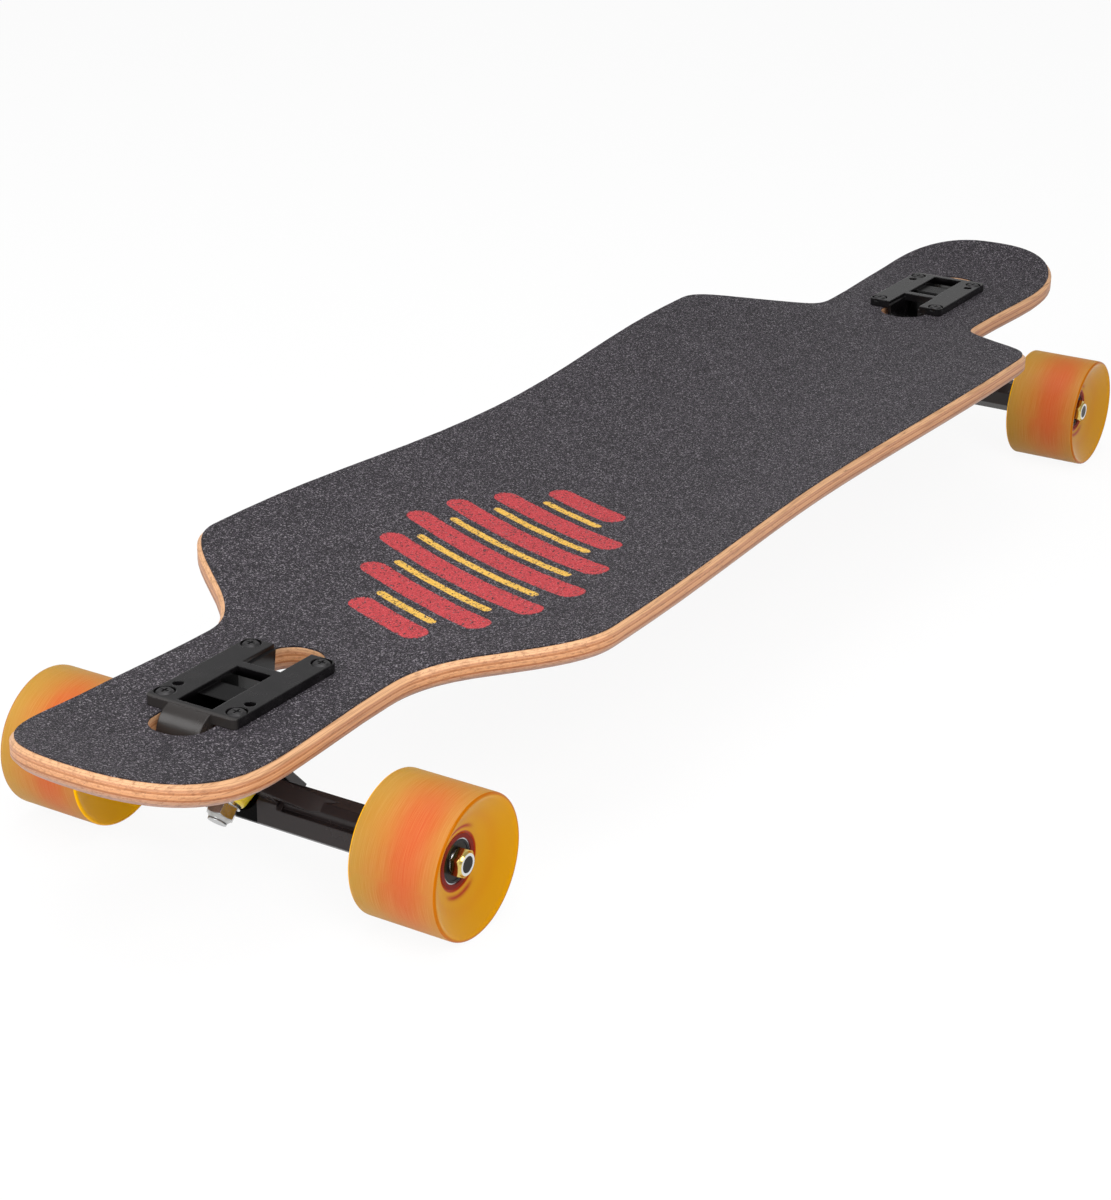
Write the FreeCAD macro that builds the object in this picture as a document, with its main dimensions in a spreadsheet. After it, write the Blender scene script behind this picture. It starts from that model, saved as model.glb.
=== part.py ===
import FreeCAD, Part
import math
import os
import Sketcher
from FreeCAD import Vector

# Longboard with drop-through reverse-kingpin trucks.
# Frame: origin on the floor under the middle, +X to the nose, +Y to the left, +Z up, in millimetres.

SIZES = {
    # whole board
    "wheelbase": 760,
    "wheel_diameter": 70,
    "truck_height": 58.6,
    # deck plan
    "nose_length": 124,
    "shoulder_width": 245.4,
    "waist_width": 222.4,
    "neck_width": 112,
    "head_width": 119,
    "shoulder_setback": 145,
    "shoulder_flat": 11,
    "well_length": 96,
    "tip_reach": 67,
    "tip_power": 2.5,
    # deck section and curve
    "deck_thickness": 11,
    "edge_bevel": 2.2,
    "concave_rise": 12.8,
    "concave_fade": 40,
    "rocker_drop": 2.5,
    "rocker_setback": 120,
    "kick_rise": 12.5,
    "flat_margin": 4,
    "grip_thickness": 0.8,
    "glue_film": 0.05,
    "grip_inset": 2.2,
    "slot_length": 111,
    "slot_width": 30.5,
    "slot_corner": 14,
    "slot_offset": 4,
    # deck bolts
    "bolt_spacing_long": 63.5,
    "bolt_spacing_wide": 41.28,
    "spare_offset": 9.525,
    "bolt_hole_diameter": 5.5,
    "bolt_diameter": 4.8,
    "bolt_head_diameter": 9,
    "bolt_head_height": 2.2,
    "bolt_head_crown": 6.4,
    "bolt_recess_diameter": 10.4,
    "bolt_recess_depth": 1.8,
    "bolt_tip": 1.5,
    "bolt_nut_flats": 9.5,
    "bolt_nut_height": 5.5,
    "cross_length": 4.6,
    "cross_width": 1.1,
    "cross_depth": 1.3,
    # baseplate
    "flange_inner": 37,
    "flange_outer": 40,
    "flange_width": 52,
    "flange_thickness": 5,
    "flange_corner": 3,
    "notch_width": 22,
    "crossbar_offset": 8,
    "crossbar_thickness": 5,
    "pocket_length": 44,
    "pocket_width": 20,
    "pocket_floor": 2.5,
    "tongue_radius": 13.6,
    "tongue_thickness": 5,
    "wall_thickness": 11,
    "box_width": 24,
    "wall_reach": 22,
    "arm_near": 15.5,
    "arm_knee": 26,
    "arm_low": 8.8,
    "arm_high": 13.5,
    "arm_width": 14,
    # steering geometry
    "axle_inset": 3.2,
    "pivot_angle": 46,
    "rake": 6.5,
    "ring_reach": 18,
    # pivot
    "nose_diameter": 11,
    "nose_reach": 40,
    "nose_base_diameter": 15,
    "nose_base_reach": 25,
    "nose_neck_reach": 29,
    "nose_clearance": 0.08,
    "nose_end_gap": 0.3,
    "cup_mouth": 31,
    "cup_wall": 3,
    "cup_floor": 1.5,
    "boss_wall": 2.5,
    # hanger
    "hanger_width": 180,
    "beam_depth": 20,
    "beam_height": 19.5,
    "beam_rise": 1.75,
    "beam_corner": 5.5,
    "beam_low_corner": 2,
    "channel_start": 24,
    "channel_length": 46,
    "channel_depth": 3,
    "channel_low": 3.5,
    "channel_height": 4.5,
    "ring_diameter": 33,
    "ring_thickness": 9,
    "ring_hole_diameter": 15,
    "web_span": 116,
    "web_crown": 6,
    "web_crown_width": 28,
    "web_thickness": 9,
    "web_drop": 3.5,
    "web_foot": 6,
    "web_pocket_near": 21.5,
    "web_pocket_far": 40,
    "web_pocket_depth": 5,
    "web_rib": 3.5,
    # kingpin stack
    "kingpin_diameter": 9.5,
    "kingpin_clearance": 0.15,
    "kingpin_head_flats": 14.3,
    "kingpin_head_height": 6.5,
    "kingpin_nut_flats": 12.7,
    "kingpin_nut_height": 6.5,
    "kingpin_nut_collar": 1.5,
    "kingpin_tip": 1.2,
    "bushing_diameter": 24,
    "bushing_clearance": 0.5,
    "bushing_seat_depth": 2.5,
    "board_bushing_height": 14.5,
    "road_bushing_height": 14,
    "road_bushing_tip_diameter": 17,
    "washer_thickness": 1.8,
    "board_washer_diameter": 25.2,
    "road_washer_diameter": 15,
    # axle and bearings
    "axle_diameter": 8,
    "speed_ring_thickness": 1,
    "speed_ring_diameter": 11,
    "axle_nut_flats": 13,
    "axle_nut_height": 4,
    "axle_nut_collar": 1,
    "bearing_diameter": 22,
    "bearing_width": 7,
    "bearing_pitch": 15.1,
    "inner_ring_diameter": 11.8,
    "outer_ring_bore": 18.4,
    "ball_diameter": 3.968,
    "ball_count": 7,
    "race_clearance": 0.08,
    "cage_thickness": 1.8,
    "cage_width": 5,
    "cage_clearance": 0.1,
    "shield_thickness": 0.5,
    "shield_inset": 0.3,
    "shield_gap": 0.4,
    "shield_seat": 1,
    "spacer_length": 10,
    "spacer_diameter": 11,
    # wheel
    "wheel_width": 47,
    "core_diameter": 34,
    "core_lip": 0.5,
    "core_body_width": 18,
    "core_shoulder_diameter": 26.4,
    "core_rib_bore": 18.5,
    "tyre_lip": 3.2,
    "tyre_lip_drop": 1.2,
    "dish_station": 24,
    "dish_height": 4.2,
    "tread_bevel": 0.8,
}

# Shared places, as expressions on the sheet
PATTERN_X = "(sizes.wheelbase / 2)"
TIP_X = f"({PATTERN_X} + sizes.nose_length)"
SHOULDER_X = f"({PATTERN_X} - sizes.shoulder_setback)"
MOUNT_Z = "(sizes.wheel_diameter / 2 + sizes.truck_height)"
AXLE_X = "(sizes.wheelbase / 2 - sizes.axle_inset)"
AXLE_Z = "(sizes.wheel_diameter / 2)"
RING_X = f"({AXLE_X} - sizes.rake * sin(sizes.pivot_angle) + sizes.ring_reach * cos(sizes.pivot_angle))"
RING_Z = f"({AXLE_Z} + sizes.rake * cos(sizes.pivot_angle) + sizes.ring_reach * sin(sizes.pivot_angle))"
HANGER_END = "(sizes.hanger_width / 2)"
BEARING_NEAR = "(sizes.spacer_length / 2)"
BEARING_FAR = "(sizes.spacer_length / 2 + sizes.bearing_width)"
WHEEL_Y = f"({HANGER_END} + sizes.speed_ring_thickness + {BEARING_FAR})"
NUT_Y = f"({WHEEL_Y} + {BEARING_FAR} + sizes.speed_ring_thickness)"
AXLE_END = f"({NUT_Y} + sizes.axle_nut_height + sizes.axle_nut_collar)"

# Heights along the kingpin, zero at the middle of the hanger's ring
RING_FACE = "(sizes.ring_thickness / 2)"
BUSHING_SEAT = "(sizes.ring_thickness / 2 - sizes.bushing_seat_depth)"
BOARD_WASHER = f"({BUSHING_SEAT} + sizes.board_bushing_height)"
WALL_FACE = f"({BOARD_WASHER} + sizes.washer_thickness)"
WALL_BACK = f"({WALL_FACE} + sizes.wall_thickness)"
ROAD_WASHER = f"({BUSHING_SEAT} + sizes.road_bushing_height)"
KINGPIN_NUT = f"({ROAD_WASHER} + sizes.washer_thickness)"
KINGPIN_NUT_END = f"({KINGPIN_NUT} + sizes.kingpin_nut_height)"
KINGPIN_END = f"({KINGPIN_NUT_END} + sizes.kingpin_nut_collar + sizes.kingpin_tip)"
KINGPIN_BORE = "(sizes.kingpin_diameter / 2 + sizes.kingpin_clearance)"

# Distances along the pivot axis, from the middle of the ring towards the pivot
CUP_BORE = "(sizes.nose_diameter / 2 + sizes.nose_clearance)"
CUP_RADIUS = f"({CUP_BORE} + sizes.cup_wall)"
CUP_INSIDE = "(sizes.nose_reach + sizes.nose_end_gap)"
CUP_END = f"({CUP_INSIDE} + sizes.cup_floor)"
BOSS_END = f"({CUP_END} + sizes.boss_wall)"
BOSS_RADIUS = f"({CUP_RADIUS} + sizes.boss_wall)"

# Frames in which the pieces are drawn
LEVEL = "rotation(vector(0; 1; 0); 0)"
TRUCK_FRAME = f"placement(vector({PATTERN_X}; 0; {MOUNT_Z}); {LEVEL})"
STEER_FRAME = f"placement(vector({RING_X}; 0; {RING_Z}); rotation(vector(0; 1; 0); -sizes.pivot_angle))"
AXLE_FRAME = f"placement(vector({AXLE_X}; 0; {AXLE_Z}); {LEVEL})"
WHEEL_FRAME = f"placement(vector({AXLE_X}; {WHEEL_Y}; {AXLE_Z}); {LEVEL})"

BLANK_MARGIN = 20
BEVEL_OVERCUT = 0.6
THROUGH = "400"

doc = FreeCAD.newDocument("longboard")
sheet = doc.addObject("Spreadsheet::Sheet", "sizes")
for row, (alias, size) in enumerate(SIZES.items(), start=1):
    sheet.set(f"A{row}", alias)
    sheet.set(f"B{row}", str(size))
    sheet.setAlias(f"B{row}", alias)
doc.recompute()
nodes = []


def value(expression):
    """Number that an expression on the sheet has now."""
    return float(sheet.evalExpression(expression))


def plus_minus(expression):
    return (expression, f"-{expression}")


# Sketches and features


def new_body(name, frame):
    body = doc.addObject("PartDesign::Body", name)
    body.AllowCompound = True
    body.setExpression("Placement", frame)
    return body


def new_sketch(body, name, role, offset=None):
    sketch = body.newObject("Sketcher::SketchObject", name)
    plane = next(item for item in body.Origin.OriginFeatures if item.Role == role)
    sketch.AttachmentSupport = [(plane, "")]
    sketch.MapMode = "FlatFace"
    if offset:
        sketch.setExpression("AttachmentOffset", offset)
    return sketch


def pin(sketch, geometry, point, x, y):
    """Ties a sketch point to two expressions."""
    for kind, axis, expression in (("DistanceX", -2, x), ("DistanceY", -1, y)):
        if expression == "0":
            sketch.addConstraint(Sketcher.Constraint("PointOnObject", geometry, point, axis))
            continue
        index = sketch.addConstraint(Sketcher.Constraint(kind, -1, 1, geometry, point, value(expression)))
        sketch.setExpression(f"Constraints[{index}]", expression)


def add_polygon(sketch, corners):
    first = sketch.GeometryCount
    points = [Vector(value(x), value(y), 0) for x, y in corners]
    count = len(points)
    for index in range(count):
        sketch.addGeometry(Part.LineSegment(points[index], points[(index + 1) % count]))
    for index in range(count):
        ends = (first + index, 2, first + (index + 1) % count, 1)
        sketch.addConstraint(Sketcher.Constraint("Coincident", *ends))
    for index, (x, y) in enumerate(corners):
        pin(sketch, first + index, 1, x, y)


def add_rectangle(sketch, x_low, x_high, y_low, y_high):
    add_polygon(sketch, [(x_low, y_low), (x_high, y_low), (x_high, y_high), (x_low, y_high)])


def add_circle(sketch, x, y, radius):
    centre = Vector(value(x), value(y), 0)
    index = sketch.addGeometry(Part.Circle(centre, Vector(0, 0, 1), value(radius)))
    pin(sketch, index, 3, x, y)
    limit = sketch.addConstraint(Sketcher.Constraint("Radius", index, value(radius)))
    sketch.setExpression(f"Constraints[{limit}]", radius)


def add_hexagon(sketch, flats):
    corner = f"({flats} / 2 / cos(30))"
    turns = [30 + 60 * step for step in range(6)]
    add_polygon(sketch, [(f"{corner} * cos({turn})", f"{corner} * sin({turn})") for turn in turns])


def extrude(body, kind, sketch, name, length, symmetric=False):
    feature = body.newObject(f"PartDesign::{kind}", name)
    feature.Profile = sketch
    feature.setExpression("Length", length)
    feature.SideType = "Symmetric" if symmetric else "One side"
    return feature


def turn(body, kind, sketch, name, axis):
    feature = body.newObject(f"PartDesign::{kind}", name)
    feature.Profile = sketch
    feature.ReferenceAxis = (sketch, [axis])
    feature.Angle = 360
    return feature


def shift(distance):
    """Moves a sketch along its own normal."""
    return f"placement(vector(0; 0; {distance}); {LEVEL})"


def fillet_edges(body, base, name, radius, wanted):
    doc.recompute()
    edges = [f"Edge{index}" for index, edge in enumerate(base.Shape.Edges, start=1) if wanted(edge)]
    feature = body.newObject("PartDesign::Fillet", name)
    feature.Base = (base, edges)
    feature.setExpression("Radius", radius)
    return feature


def is_parallel(edge, direction):
    if not isinstance(edge.Curve, Part.Line):
        return False
    return abs(abs(edge.Curve.Direction.dot(direction)) - 1) < 1e-6


def keep(item, label):
    """Marks an object as a sub-part with a file of its own."""
    item.Label = label
    nodes.append(item)
    return item


def mirrored(source, name, normal, base_x=None):
    copy = doc.addObject("Part::Mirroring", name)
    copy.Source = source
    copy.Normal = normal
    if base_x:
        copy.setExpression("Base.x", base_x)
    return copy


def group(name, members):
    compound = doc.addObject("Part::Compound", name)
    compound.Links = members
    return compound


def four_copies(source, name):
    """One piece at each corner of the bolt pattern."""
    across = mirrored(source, f"{name}_across", Vector(0, 1, 0))
    along = mirrored(source, f"{name}_along", Vector(1, 0, 0), PATTERN_X)
    both = mirrored(across, f"{name}_both", Vector(1, 0, 0), PATTERN_X)
    return group(name, [source, across, along, both])


# Deck: pressed surface, plan outline, grip sheet


def smooth(part):
    """Blend from 0 to 1 that starts and ends level with no curvature."""
    return part ** 3 * (10 - 15 * part + 6 * part ** 2)


def ease(part):
    """Half cosine blend from 0 to 1."""
    return (1 - math.cos(math.pi * part)) / 2


def outline_quarter(steps=(6, 12, 4, 10)):
    """Points of the plan from the middle of the left side to the nose tip."""
    waist = value("sizes.waist_width / 2")
    shoulder = value("sizes.shoulder_width / 2")
    neck = value("sizes.neck_width / 2")
    head = value("sizes.head_width / 2")
    shoulder_x = value(SHOULDER_X)
    well_start = shoulder_x + value("sizes.shoulder_flat")
    well_end = well_start + value("sizes.well_length")
    tip_x = value(TIP_X)
    head_x = tip_x - value("sizes.tip_reach")
    power = 2 / value("sizes.tip_power")
    points = []
    for step in range(steps[0]):
        part = step / steps[0]
        points.append((shoulder_x * part, waist + (shoulder - waist) * ease(part)))
    for step in range(steps[1]):
        part = step / steps[1]
        points.append((well_start + (well_end - well_start) * part, shoulder + (neck - shoulder) * smooth(part)))
    for step in range(steps[2]):
        part = step / steps[2]
        points.append((well_end + (head_x - well_end) * part, neck + (head - neck) * ease(part)))
    for step in range(steps[3] + 1):
        angle = math.pi / 2 * step / steps[3]
        along = math.sin(angle) ** power
        points.append((head_x + (tip_x - head_x) * along, head * max(math.cos(angle), 0) ** power))
    return points


def outline_points(inset):
    """Corners of the plan, set in from the deck's edge."""
    quarter = outline_quarter()
    left = [(-x, y) for x, y in reversed(quarter[1:])] + quarter
    loop = left + [(x, -y) for x, y in reversed(left[1:-1])]
    count = len(loop)
    points = []
    for index, (x, y) in enumerate(loop):
        before = loop[index - 1]
        after = loop[(index + 1) % count]
        slope = Vector(after[0] - before[0], after[1] - before[1], 0).normalize()
        points.append(Vector(x + slope.y * inset, y - slope.x * inset, 0))
    return points


def smooth_loop(points):
    """Four quarters of a closed curve through the points of a plan, at the same parameters for every inset."""
    plan = outline_points(0)
    places = [0]
    for before, after in zip(plan, plan[1:] + plan[:1]):
        places.append(places[-1] + before.distanceToPoint(after))
    curve = Part.BSplineCurve()
    curve.interpolate(Points=points, PeriodicFlag=True, Parameters=places)
    breaks = places[::len(points) // 4]
    quarters = []
    for first, last in zip(breaks, breaks[1:]):
        span = curve.copy()
        span.segment(first, last)
        quarters.append(span.toShape())
    return quarters


def pressed_face():
    """Top of the wood: parabolas along and across, as one exact quadratic spline face."""
    half_length = value(TIP_X) + BLANK_MARGIN
    half_width = value("sizes.shoulder_width / 2") + BLANK_MARGIN
    bend = value("sizes.concave_rise") / value("sizes.shoulder_width / 2") ** 2
    fade_end = value(f"{PATTERN_X} - sizes.flange_inner - sizes.flat_margin")
    fade_start = fade_end - value("sizes.concave_fade")
    kick_start = value(f"{PATTERN_X} + sizes.flange_outer + sizes.flat_margin")
    kick = value("sizes.kick_rise") / (value(TIP_X) - kick_start) ** 2
    drop = value("sizes.rocker_drop")
    rocker = value(f"{PATTERN_X} - sizes.rocker_setback")
    top = value(f"{MOUNT_Z} - sizes.grip_thickness")

    def step_down(part):
        """Two parabolas from 1 down to 0."""
        part = min(max(part, 0), 1)
        return 1 - 2 * part ** 2 if part < 0.5 else 2 * (1 - part) ** 2

    def middle_height(x):
        lift = kick * max(abs(x) - kick_start, 0) ** 2
        return top + lift - drop * step_down(abs(x) / rocker)

    def cross_bend(x):
        return bend * step_down((abs(x) - fade_start) / (fade_end - fade_start))

    fade_middle = (fade_start + fade_end) / 2
    positive = sorted({rocker / 2, rocker, fade_start, fade_middle, fade_end, kick_start, half_length})
    knots = [-x for x in reversed(positive)] + positive

    def pole(function, low, high):
        return 2 * function((low + high) / 2) - (function(low) + function(high)) / 2

    spans = [(knots[0], knots[0])] + list(zip(knots, knots[1:])) + [(knots[-1], knots[-1])]
    rows = []
    for low, high in spans:
        x = (low + high) / 2
        middle = pole(middle_height, low, high)
        swing = pole(cross_bend, low, high) * half_width ** 2
        sides = ((-half_width, swing), (0, -swing), (half_width, swing))
        rows.append([Vector(x, y, middle + height) for y, height in sides])
    surface = Part.BSplineSurface()
    inner = [1] * (len(knots) - 2)
    surface.buildFromPolesMultsKnots(rows, [3] + inner + [3], [3, 3], knots, [-half_width, half_width],
                                     False, False, 2, 2)
    return surface.toShape()


def plan_prism(name, inset):
    wire = doc.addObject("Part::Feature", f"{name}_plan")
    wire.Shape = Part.Wire(smooth_loop(outline_points(inset)))
    prism = doc.addObject("Part::Extrusion", f"{name}_prism")
    prism.Base = wire
    prism.DirMode = "Custom"
    prism.Dir = Vector(0, 0, 1)
    prism.Solid = True
    prism.setExpression("LengthFwd", f"2 * {MOUNT_Z}")
    return prism


def pressed_sheet(name, inset, start, end):
    """Layer between two heights on the pressed face, trimmed to the plan."""
    layer = doc.addObject("Part::Feature", f"{name}_layer")
    layer.Shape = pressed_face().translated(Vector(0, 0, start)).extrude(Vector(0, 0, end - start))
    sheet_piece = doc.addObject("Part::Common", f"{name}_sheet")
    sheet_piece.Base = layer
    sheet_piece.Tool = plan_prism(name, inset)
    return sheet_piece


def bevelled(sheet):
    """The sheet without its sharp edges, cut away by ruled faces that follow the pressing."""
    pressing = pressed_face().Surface
    width = value("sizes.edge_bevel")
    for level, side in ((0, 1), (-value("sizes.deck_thickness"), -1)):
        rims = []
        for inset, rise in ((width + BEVEL_OVERCUT, BEVEL_OVERCUT), (-BEVEL_OVERCUT, -width - BEVEL_OVERCUT)):
            rims.append(smooth_loop([
                Vector(point.x, point.y, pressing.value(point.x, point.y).z + level + side * rise)
                for point in outline_points(inset)
            ]))
        bands = [Part.makeRuledSurface(inner, outer) for inner, outer in zip(*rims)]
        pieces, _ = sheet.generalFuse(bands)
        sheet = max(pieces.Solids, key=lambda solid: solid.Volume)
    return sheet


def bolt_places(spare):
    """Corners of the bolt pattern in the truck's frame, with the spare pair if asked for."""
    along = "(sizes.bolt_spacing_long / 2)"
    across = "(sizes.bolt_spacing_wide / 2)"
    stations = [along, f"-{along}"]
    if spare:
        stations.append(f"({along} - sizes.spare_offset)")
    return [(x, y) for x in stations for y in plus_minus(across)]


def deck_cutters():
    """Slot and bolt holes for both trucks."""
    body = new_body("front_openings", TRUCK_FRAME)
    slot = new_sketch(body, "slot_plan", "XY_Plane")
    half = "(sizes.slot_length / 2)"
    wide = "(sizes.slot_width / 2)"
    add_rectangle(slot, f"sizes.slot_offset - {half}", f"sizes.slot_offset + {half}", f"-{wide}", wide)
    block = extrude(body, "Pad", slot, "slot_block", THROUGH, symmetric=True)
    fillet_edges(body, block, "slot_corners", "sizes.slot_corner",
                 lambda edge: is_parallel(edge, Vector(0, 0, 1)))
    holes = new_sketch(body, "bolt_hole_plan", "XY_Plane")
    for x, y in bolt_places(spare=True):
        add_circle(holes, x, y, "sizes.bolt_hole_diameter / 2")
    extrude(body, "Pad", holes, "bolt_hole_rods", THROUGH, symmetric=True)
    rear = mirrored(body, "rear_openings", Vector(1, 0, 0))
    return group("openings", [body, rear])


def make_deck():
    openings = deck_cutters()
    raw = pressed_sheet("deck", 0, 0, -value("sizes.deck_thickness"))
    doc.recompute()
    blank = doc.addObject("Part::Feature", "deck_bevelled")
    blank.Shape = bevelled(raw.Shape)
    deck = doc.addObject("Part::Cut", "deck")
    deck.Base = blank
    deck.Tool = openings
    keep(deck, "deck")
    grip = doc.addObject("Part::Cut", "grip_tape")
    grip.Base = pressed_sheet("grip", value("sizes.grip_inset"), value("sizes.glue_film"),
                              value("sizes.grip_thickness"))
    grip.Tool = openings
    keep(grip, "grip_tape")


# Truck: baseplate


def make_flange():
    body = new_body("front_flange", TRUCK_FRAME)
    wide = "(sizes.flange_width / 2)"
    plan = new_sketch(body, "flange_plan", "XY_Plane")
    add_rectangle(plan, "-sizes.flange_inner", "sizes.flange_outer", f"-{wide}", wide)
    plate = extrude(body, "Pad", plan, "flange_plate", "sizes.flange_thickness")
    fillet_edges(body, plate, "flange_corners", "sizes.flange_corner",
                 lambda edge: is_parallel(edge, Vector(0, 0, 1)))
    box = new_sketch(body, "box_profile", "XZ_Plane")
    box_end = "(sizes.pocket_length - sizes.crossbar_offset)"
    box_depth = "(sizes.tongue_radius - sizes.flange_thickness)"
    add_rectangle(box, "0", box_end, f"-{box_depth}", "sizes.flange_thickness / 2")
    extrude(body, "Pad", box, "box_walls", "sizes.box_width", symmetric=True)
    window = new_sketch(body, "notch_plan", "XY_Plane")
    notch = "(sizes.notch_width / 2)"
    bar = "(sizes.crossbar_offset + sizes.crossbar_thickness)"
    add_rectangle(window, "-sizes.flange_inner - sizes.flange_corner", f"-{bar}", f"-{notch}", notch)
    extrude(body, "Pocket", window, "notch", THROUGH, symmetric=True)
    well = new_sketch(body, "pocket_plan", "XY_Plane", shift("sizes.flange_thickness"))
    pocket = "(sizes.pocket_width / 2)"
    add_rectangle(well, "-sizes.crossbar_offset", box_end, f"-{pocket}", pocket)
    extrude(body, "Pocket", well, "pocket", "sizes.tongue_radius - sizes.pocket_floor")
    holes = new_sketch(body, "flange_hole_plan", "XY_Plane")
    for x, y in bolt_places(spare=True):
        add_circle(holes, x, y, "sizes.bolt_hole_diameter / 2")
    extrude(body, "Pocket", holes, "flange_holes", THROUGH, symmetric=True)
    recess = new_sketch(body, "bolt_recess_plan", "XY_Plane", shift("sizes.flange_thickness"))
    for x, y in bolt_places(spare=False):
        add_circle(recess, x, y, "sizes.bolt_recess_diameter / 2")
    extrude(body, "Pocket", recess, "bolt_recesses", "sizes.bolt_recess_depth")
    return body


def make_tongue():
    """Curved lip at the outer end of the flange."""
    middle_x = f"({PATTERN_X} + sizes.pocket_length - sizes.crossbar_offset)"
    middle_z = f"({MOUNT_Z} + sizes.flange_thickness - sizes.tongue_radius)"
    rods = []
    for name, radius, width in (("outer", "sizes.tongue_radius", "sizes.box_width"),
                                ("inner", "sizes.tongue_radius - sizes.tongue_thickness", "sizes.pocket_width")):
        rod = doc.addObject("Part::Cylinder", f"front_tongue_{name}")
        rod.setExpression("Radius", radius)
        rod.setExpression("Height", width)
        rod.Angle = 90
        frame = f"placement(vector({middle_x}; {width} / 2; {middle_z}); rotation(vector(1; 0; 0); 90))"
        rod.setExpression("Placement", frame)
        rods.append(rod)
    tongue = doc.addObject("Part::Cut", "front_tongue")
    tongue.Base, tongue.Tool = rods
    return tongue


def make_leg():
    """Slanted kingpin wall with its cheeks, and the arm to the pivot boss."""
    body = new_body("front_leg", STEER_FRAME)
    rise = f"({MOUNT_Z} + sizes.flange_thickness / 2 - {RING_Z})"
    back = f"({PATTERN_X} - sizes.flange_inner - {RING_X})"
    cosine = "cos(sizes.pivot_angle)"
    sine = "sin(sizes.pivot_angle)"
    inner_corner = (f"{back} * {cosine} + {rise} * {sine}", f"{rise} * {cosine} - {back} * {sine}")
    profile = new_sketch(body, "wall_profile", "XZ_Plane")
    add_polygon(profile, [
        (f"({rise} - {WALL_FACE} * {cosine}) / {sine}", WALL_FACE),
        ("-sizes.wall_reach", WALL_FACE),
        ("-sizes.wall_reach", WALL_BACK),
        inner_corner,
    ])
    extrude(body, "Pad", profile, "wall_block", "sizes.box_width", symmetric=True)
    hollow = new_sketch(body, "wall_hollow", "XZ_Plane")
    add_rectangle(hollow, f"-2 * {BOSS_END}", f"2 * {BOSS_END}", WALL_BACK, f"{WALL_BACK} + 2 * {BOSS_END}")
    extrude(body, "Pocket", hollow, "wall_trough", "sizes.pocket_width", symmetric=True)
    arm = new_sketch(body, "arm_profile", "XZ_Plane")
    add_polygon(arm, [
        ("-sizes.arm_near", WALL_FACE),
        ("-sizes.arm_near", "sizes.arm_low"),
        ("-sizes.cup_mouth", "sizes.arm_low"),
        ("-sizes.cup_mouth", "0"),
        (f"-{BOSS_END}", "0"),
        (f"-{BOSS_END}", "sizes.arm_high"),
        ("-sizes.arm_knee", "sizes.arm_high"),
        ("-sizes.wall_reach", WALL_FACE),
        ("-sizes.wall_reach", f"{WALL_FACE} + sizes.wall_thickness / 2"),
        ("-sizes.arm_near", f"{WALL_FACE} + sizes.wall_thickness / 2"),
    ])
    extrude(body, "Pad", arm, "arm", "sizes.arm_width", symmetric=True)
    boss = new_sketch(body, "boss_profile", "XZ_Plane")
    add_rectangle(boss, f"-{BOSS_END}", "-sizes.cup_mouth", "0", BOSS_RADIUS)
    turn(body, "Revolution", boss, "boss", "H_Axis")
    seat = new_sketch(body, "cup_seat_profile", "XZ_Plane")
    add_rectangle(seat, f"-{CUP_END}", "sizes.boss_wall - sizes.cup_mouth", "0", CUP_RADIUS)
    turn(body, "Groove", seat, "cup_seat", "H_Axis")
    bore = new_sketch(body, "kingpin_bore_plan", "XY_Plane")
    add_circle(bore, "0", "0", KINGPIN_BORE)
    extrude(body, "Pocket", bore, "kingpin_bore", f"2 * {WALL_BACK} + 2", symmetric=True)
    return body


def make_baseplate():
    plate = doc.addObject("Part::MultiFuse", "front_baseplate")
    plate.Shapes = [make_flange(), make_leg(), make_tongue()]
    plate.Refine = True
    return plate


# Truck: fasteners of the deck


def make_deck_bolts():
    corner = (f"({PATTERN_X} + sizes.bolt_spacing_long / 2)", "(sizes.bolt_spacing_wide / 2)")
    frame = f"placement(vector({corner[0]}; {corner[1]}; {MOUNT_Z}); {LEVEL})"
    body = new_body("front_bolt", frame)
    seat = "(sizes.flange_thickness - sizes.bolt_recess_depth)"
    top = f"({seat} + sizes.bolt_head_height)"
    under_deck = "(sizes.grip_thickness + sizes.deck_thickness)"
    profile = new_sketch(body, "bolt_profile", "XZ_Plane")
    add_polygon(profile, [
        ("0", f"-{under_deck} - sizes.bolt_nut_height - sizes.bolt_tip"),
        ("sizes.bolt_diameter / 2", f"-{under_deck} - sizes.bolt_nut_height - sizes.bolt_tip"),
        ("sizes.bolt_diameter / 2", seat),
        ("sizes.bolt_head_diameter / 2", seat),
        ("sizes.bolt_head_diameter / 2", f"{seat} + sizes.bolt_head_height / 2"),
        ("sizes.bolt_head_crown / 2", top),
        ("0", top),
    ])
    turn(body, "Revolution", profile, "bolt_blank", "V_Axis")
    cross = new_sketch(body, "bolt_cross", "XY_Plane", shift(top))
    long, thin = "(sizes.cross_length / 2)", "(sizes.cross_width / 2)"
    corners = [(long, thin), (thin, thin), (thin, long)]
    half = corners + [(f"-{x}", y) for x, y in reversed(corners)]
    add_polygon(cross, half + [(x, f"-{y}") for x, y in reversed(half)])
    extrude(body, "Pocket", cross, "bolt_recess", "sizes.cross_depth")
    bolts = four_copies(body, "front_deck_bolts")

    nut = new_body("front_deck_nut", frame)
    plan = new_sketch(nut, "deck_nut_plan", "XY_Plane", shift(f"-{under_deck} - sizes.bolt_nut_height"))
    add_hexagon(plan, "sizes.bolt_nut_flats")
    add_circle(plan, "0", "0", "sizes.bolt_diameter / 2")
    extrude(nut, "Pad", plan, "deck_nut_block", "sizes.bolt_nut_height")
    nuts = four_copies(nut, "front_deck_nuts")
    return bolts, nuts


# Truck: kingpin stack


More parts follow.
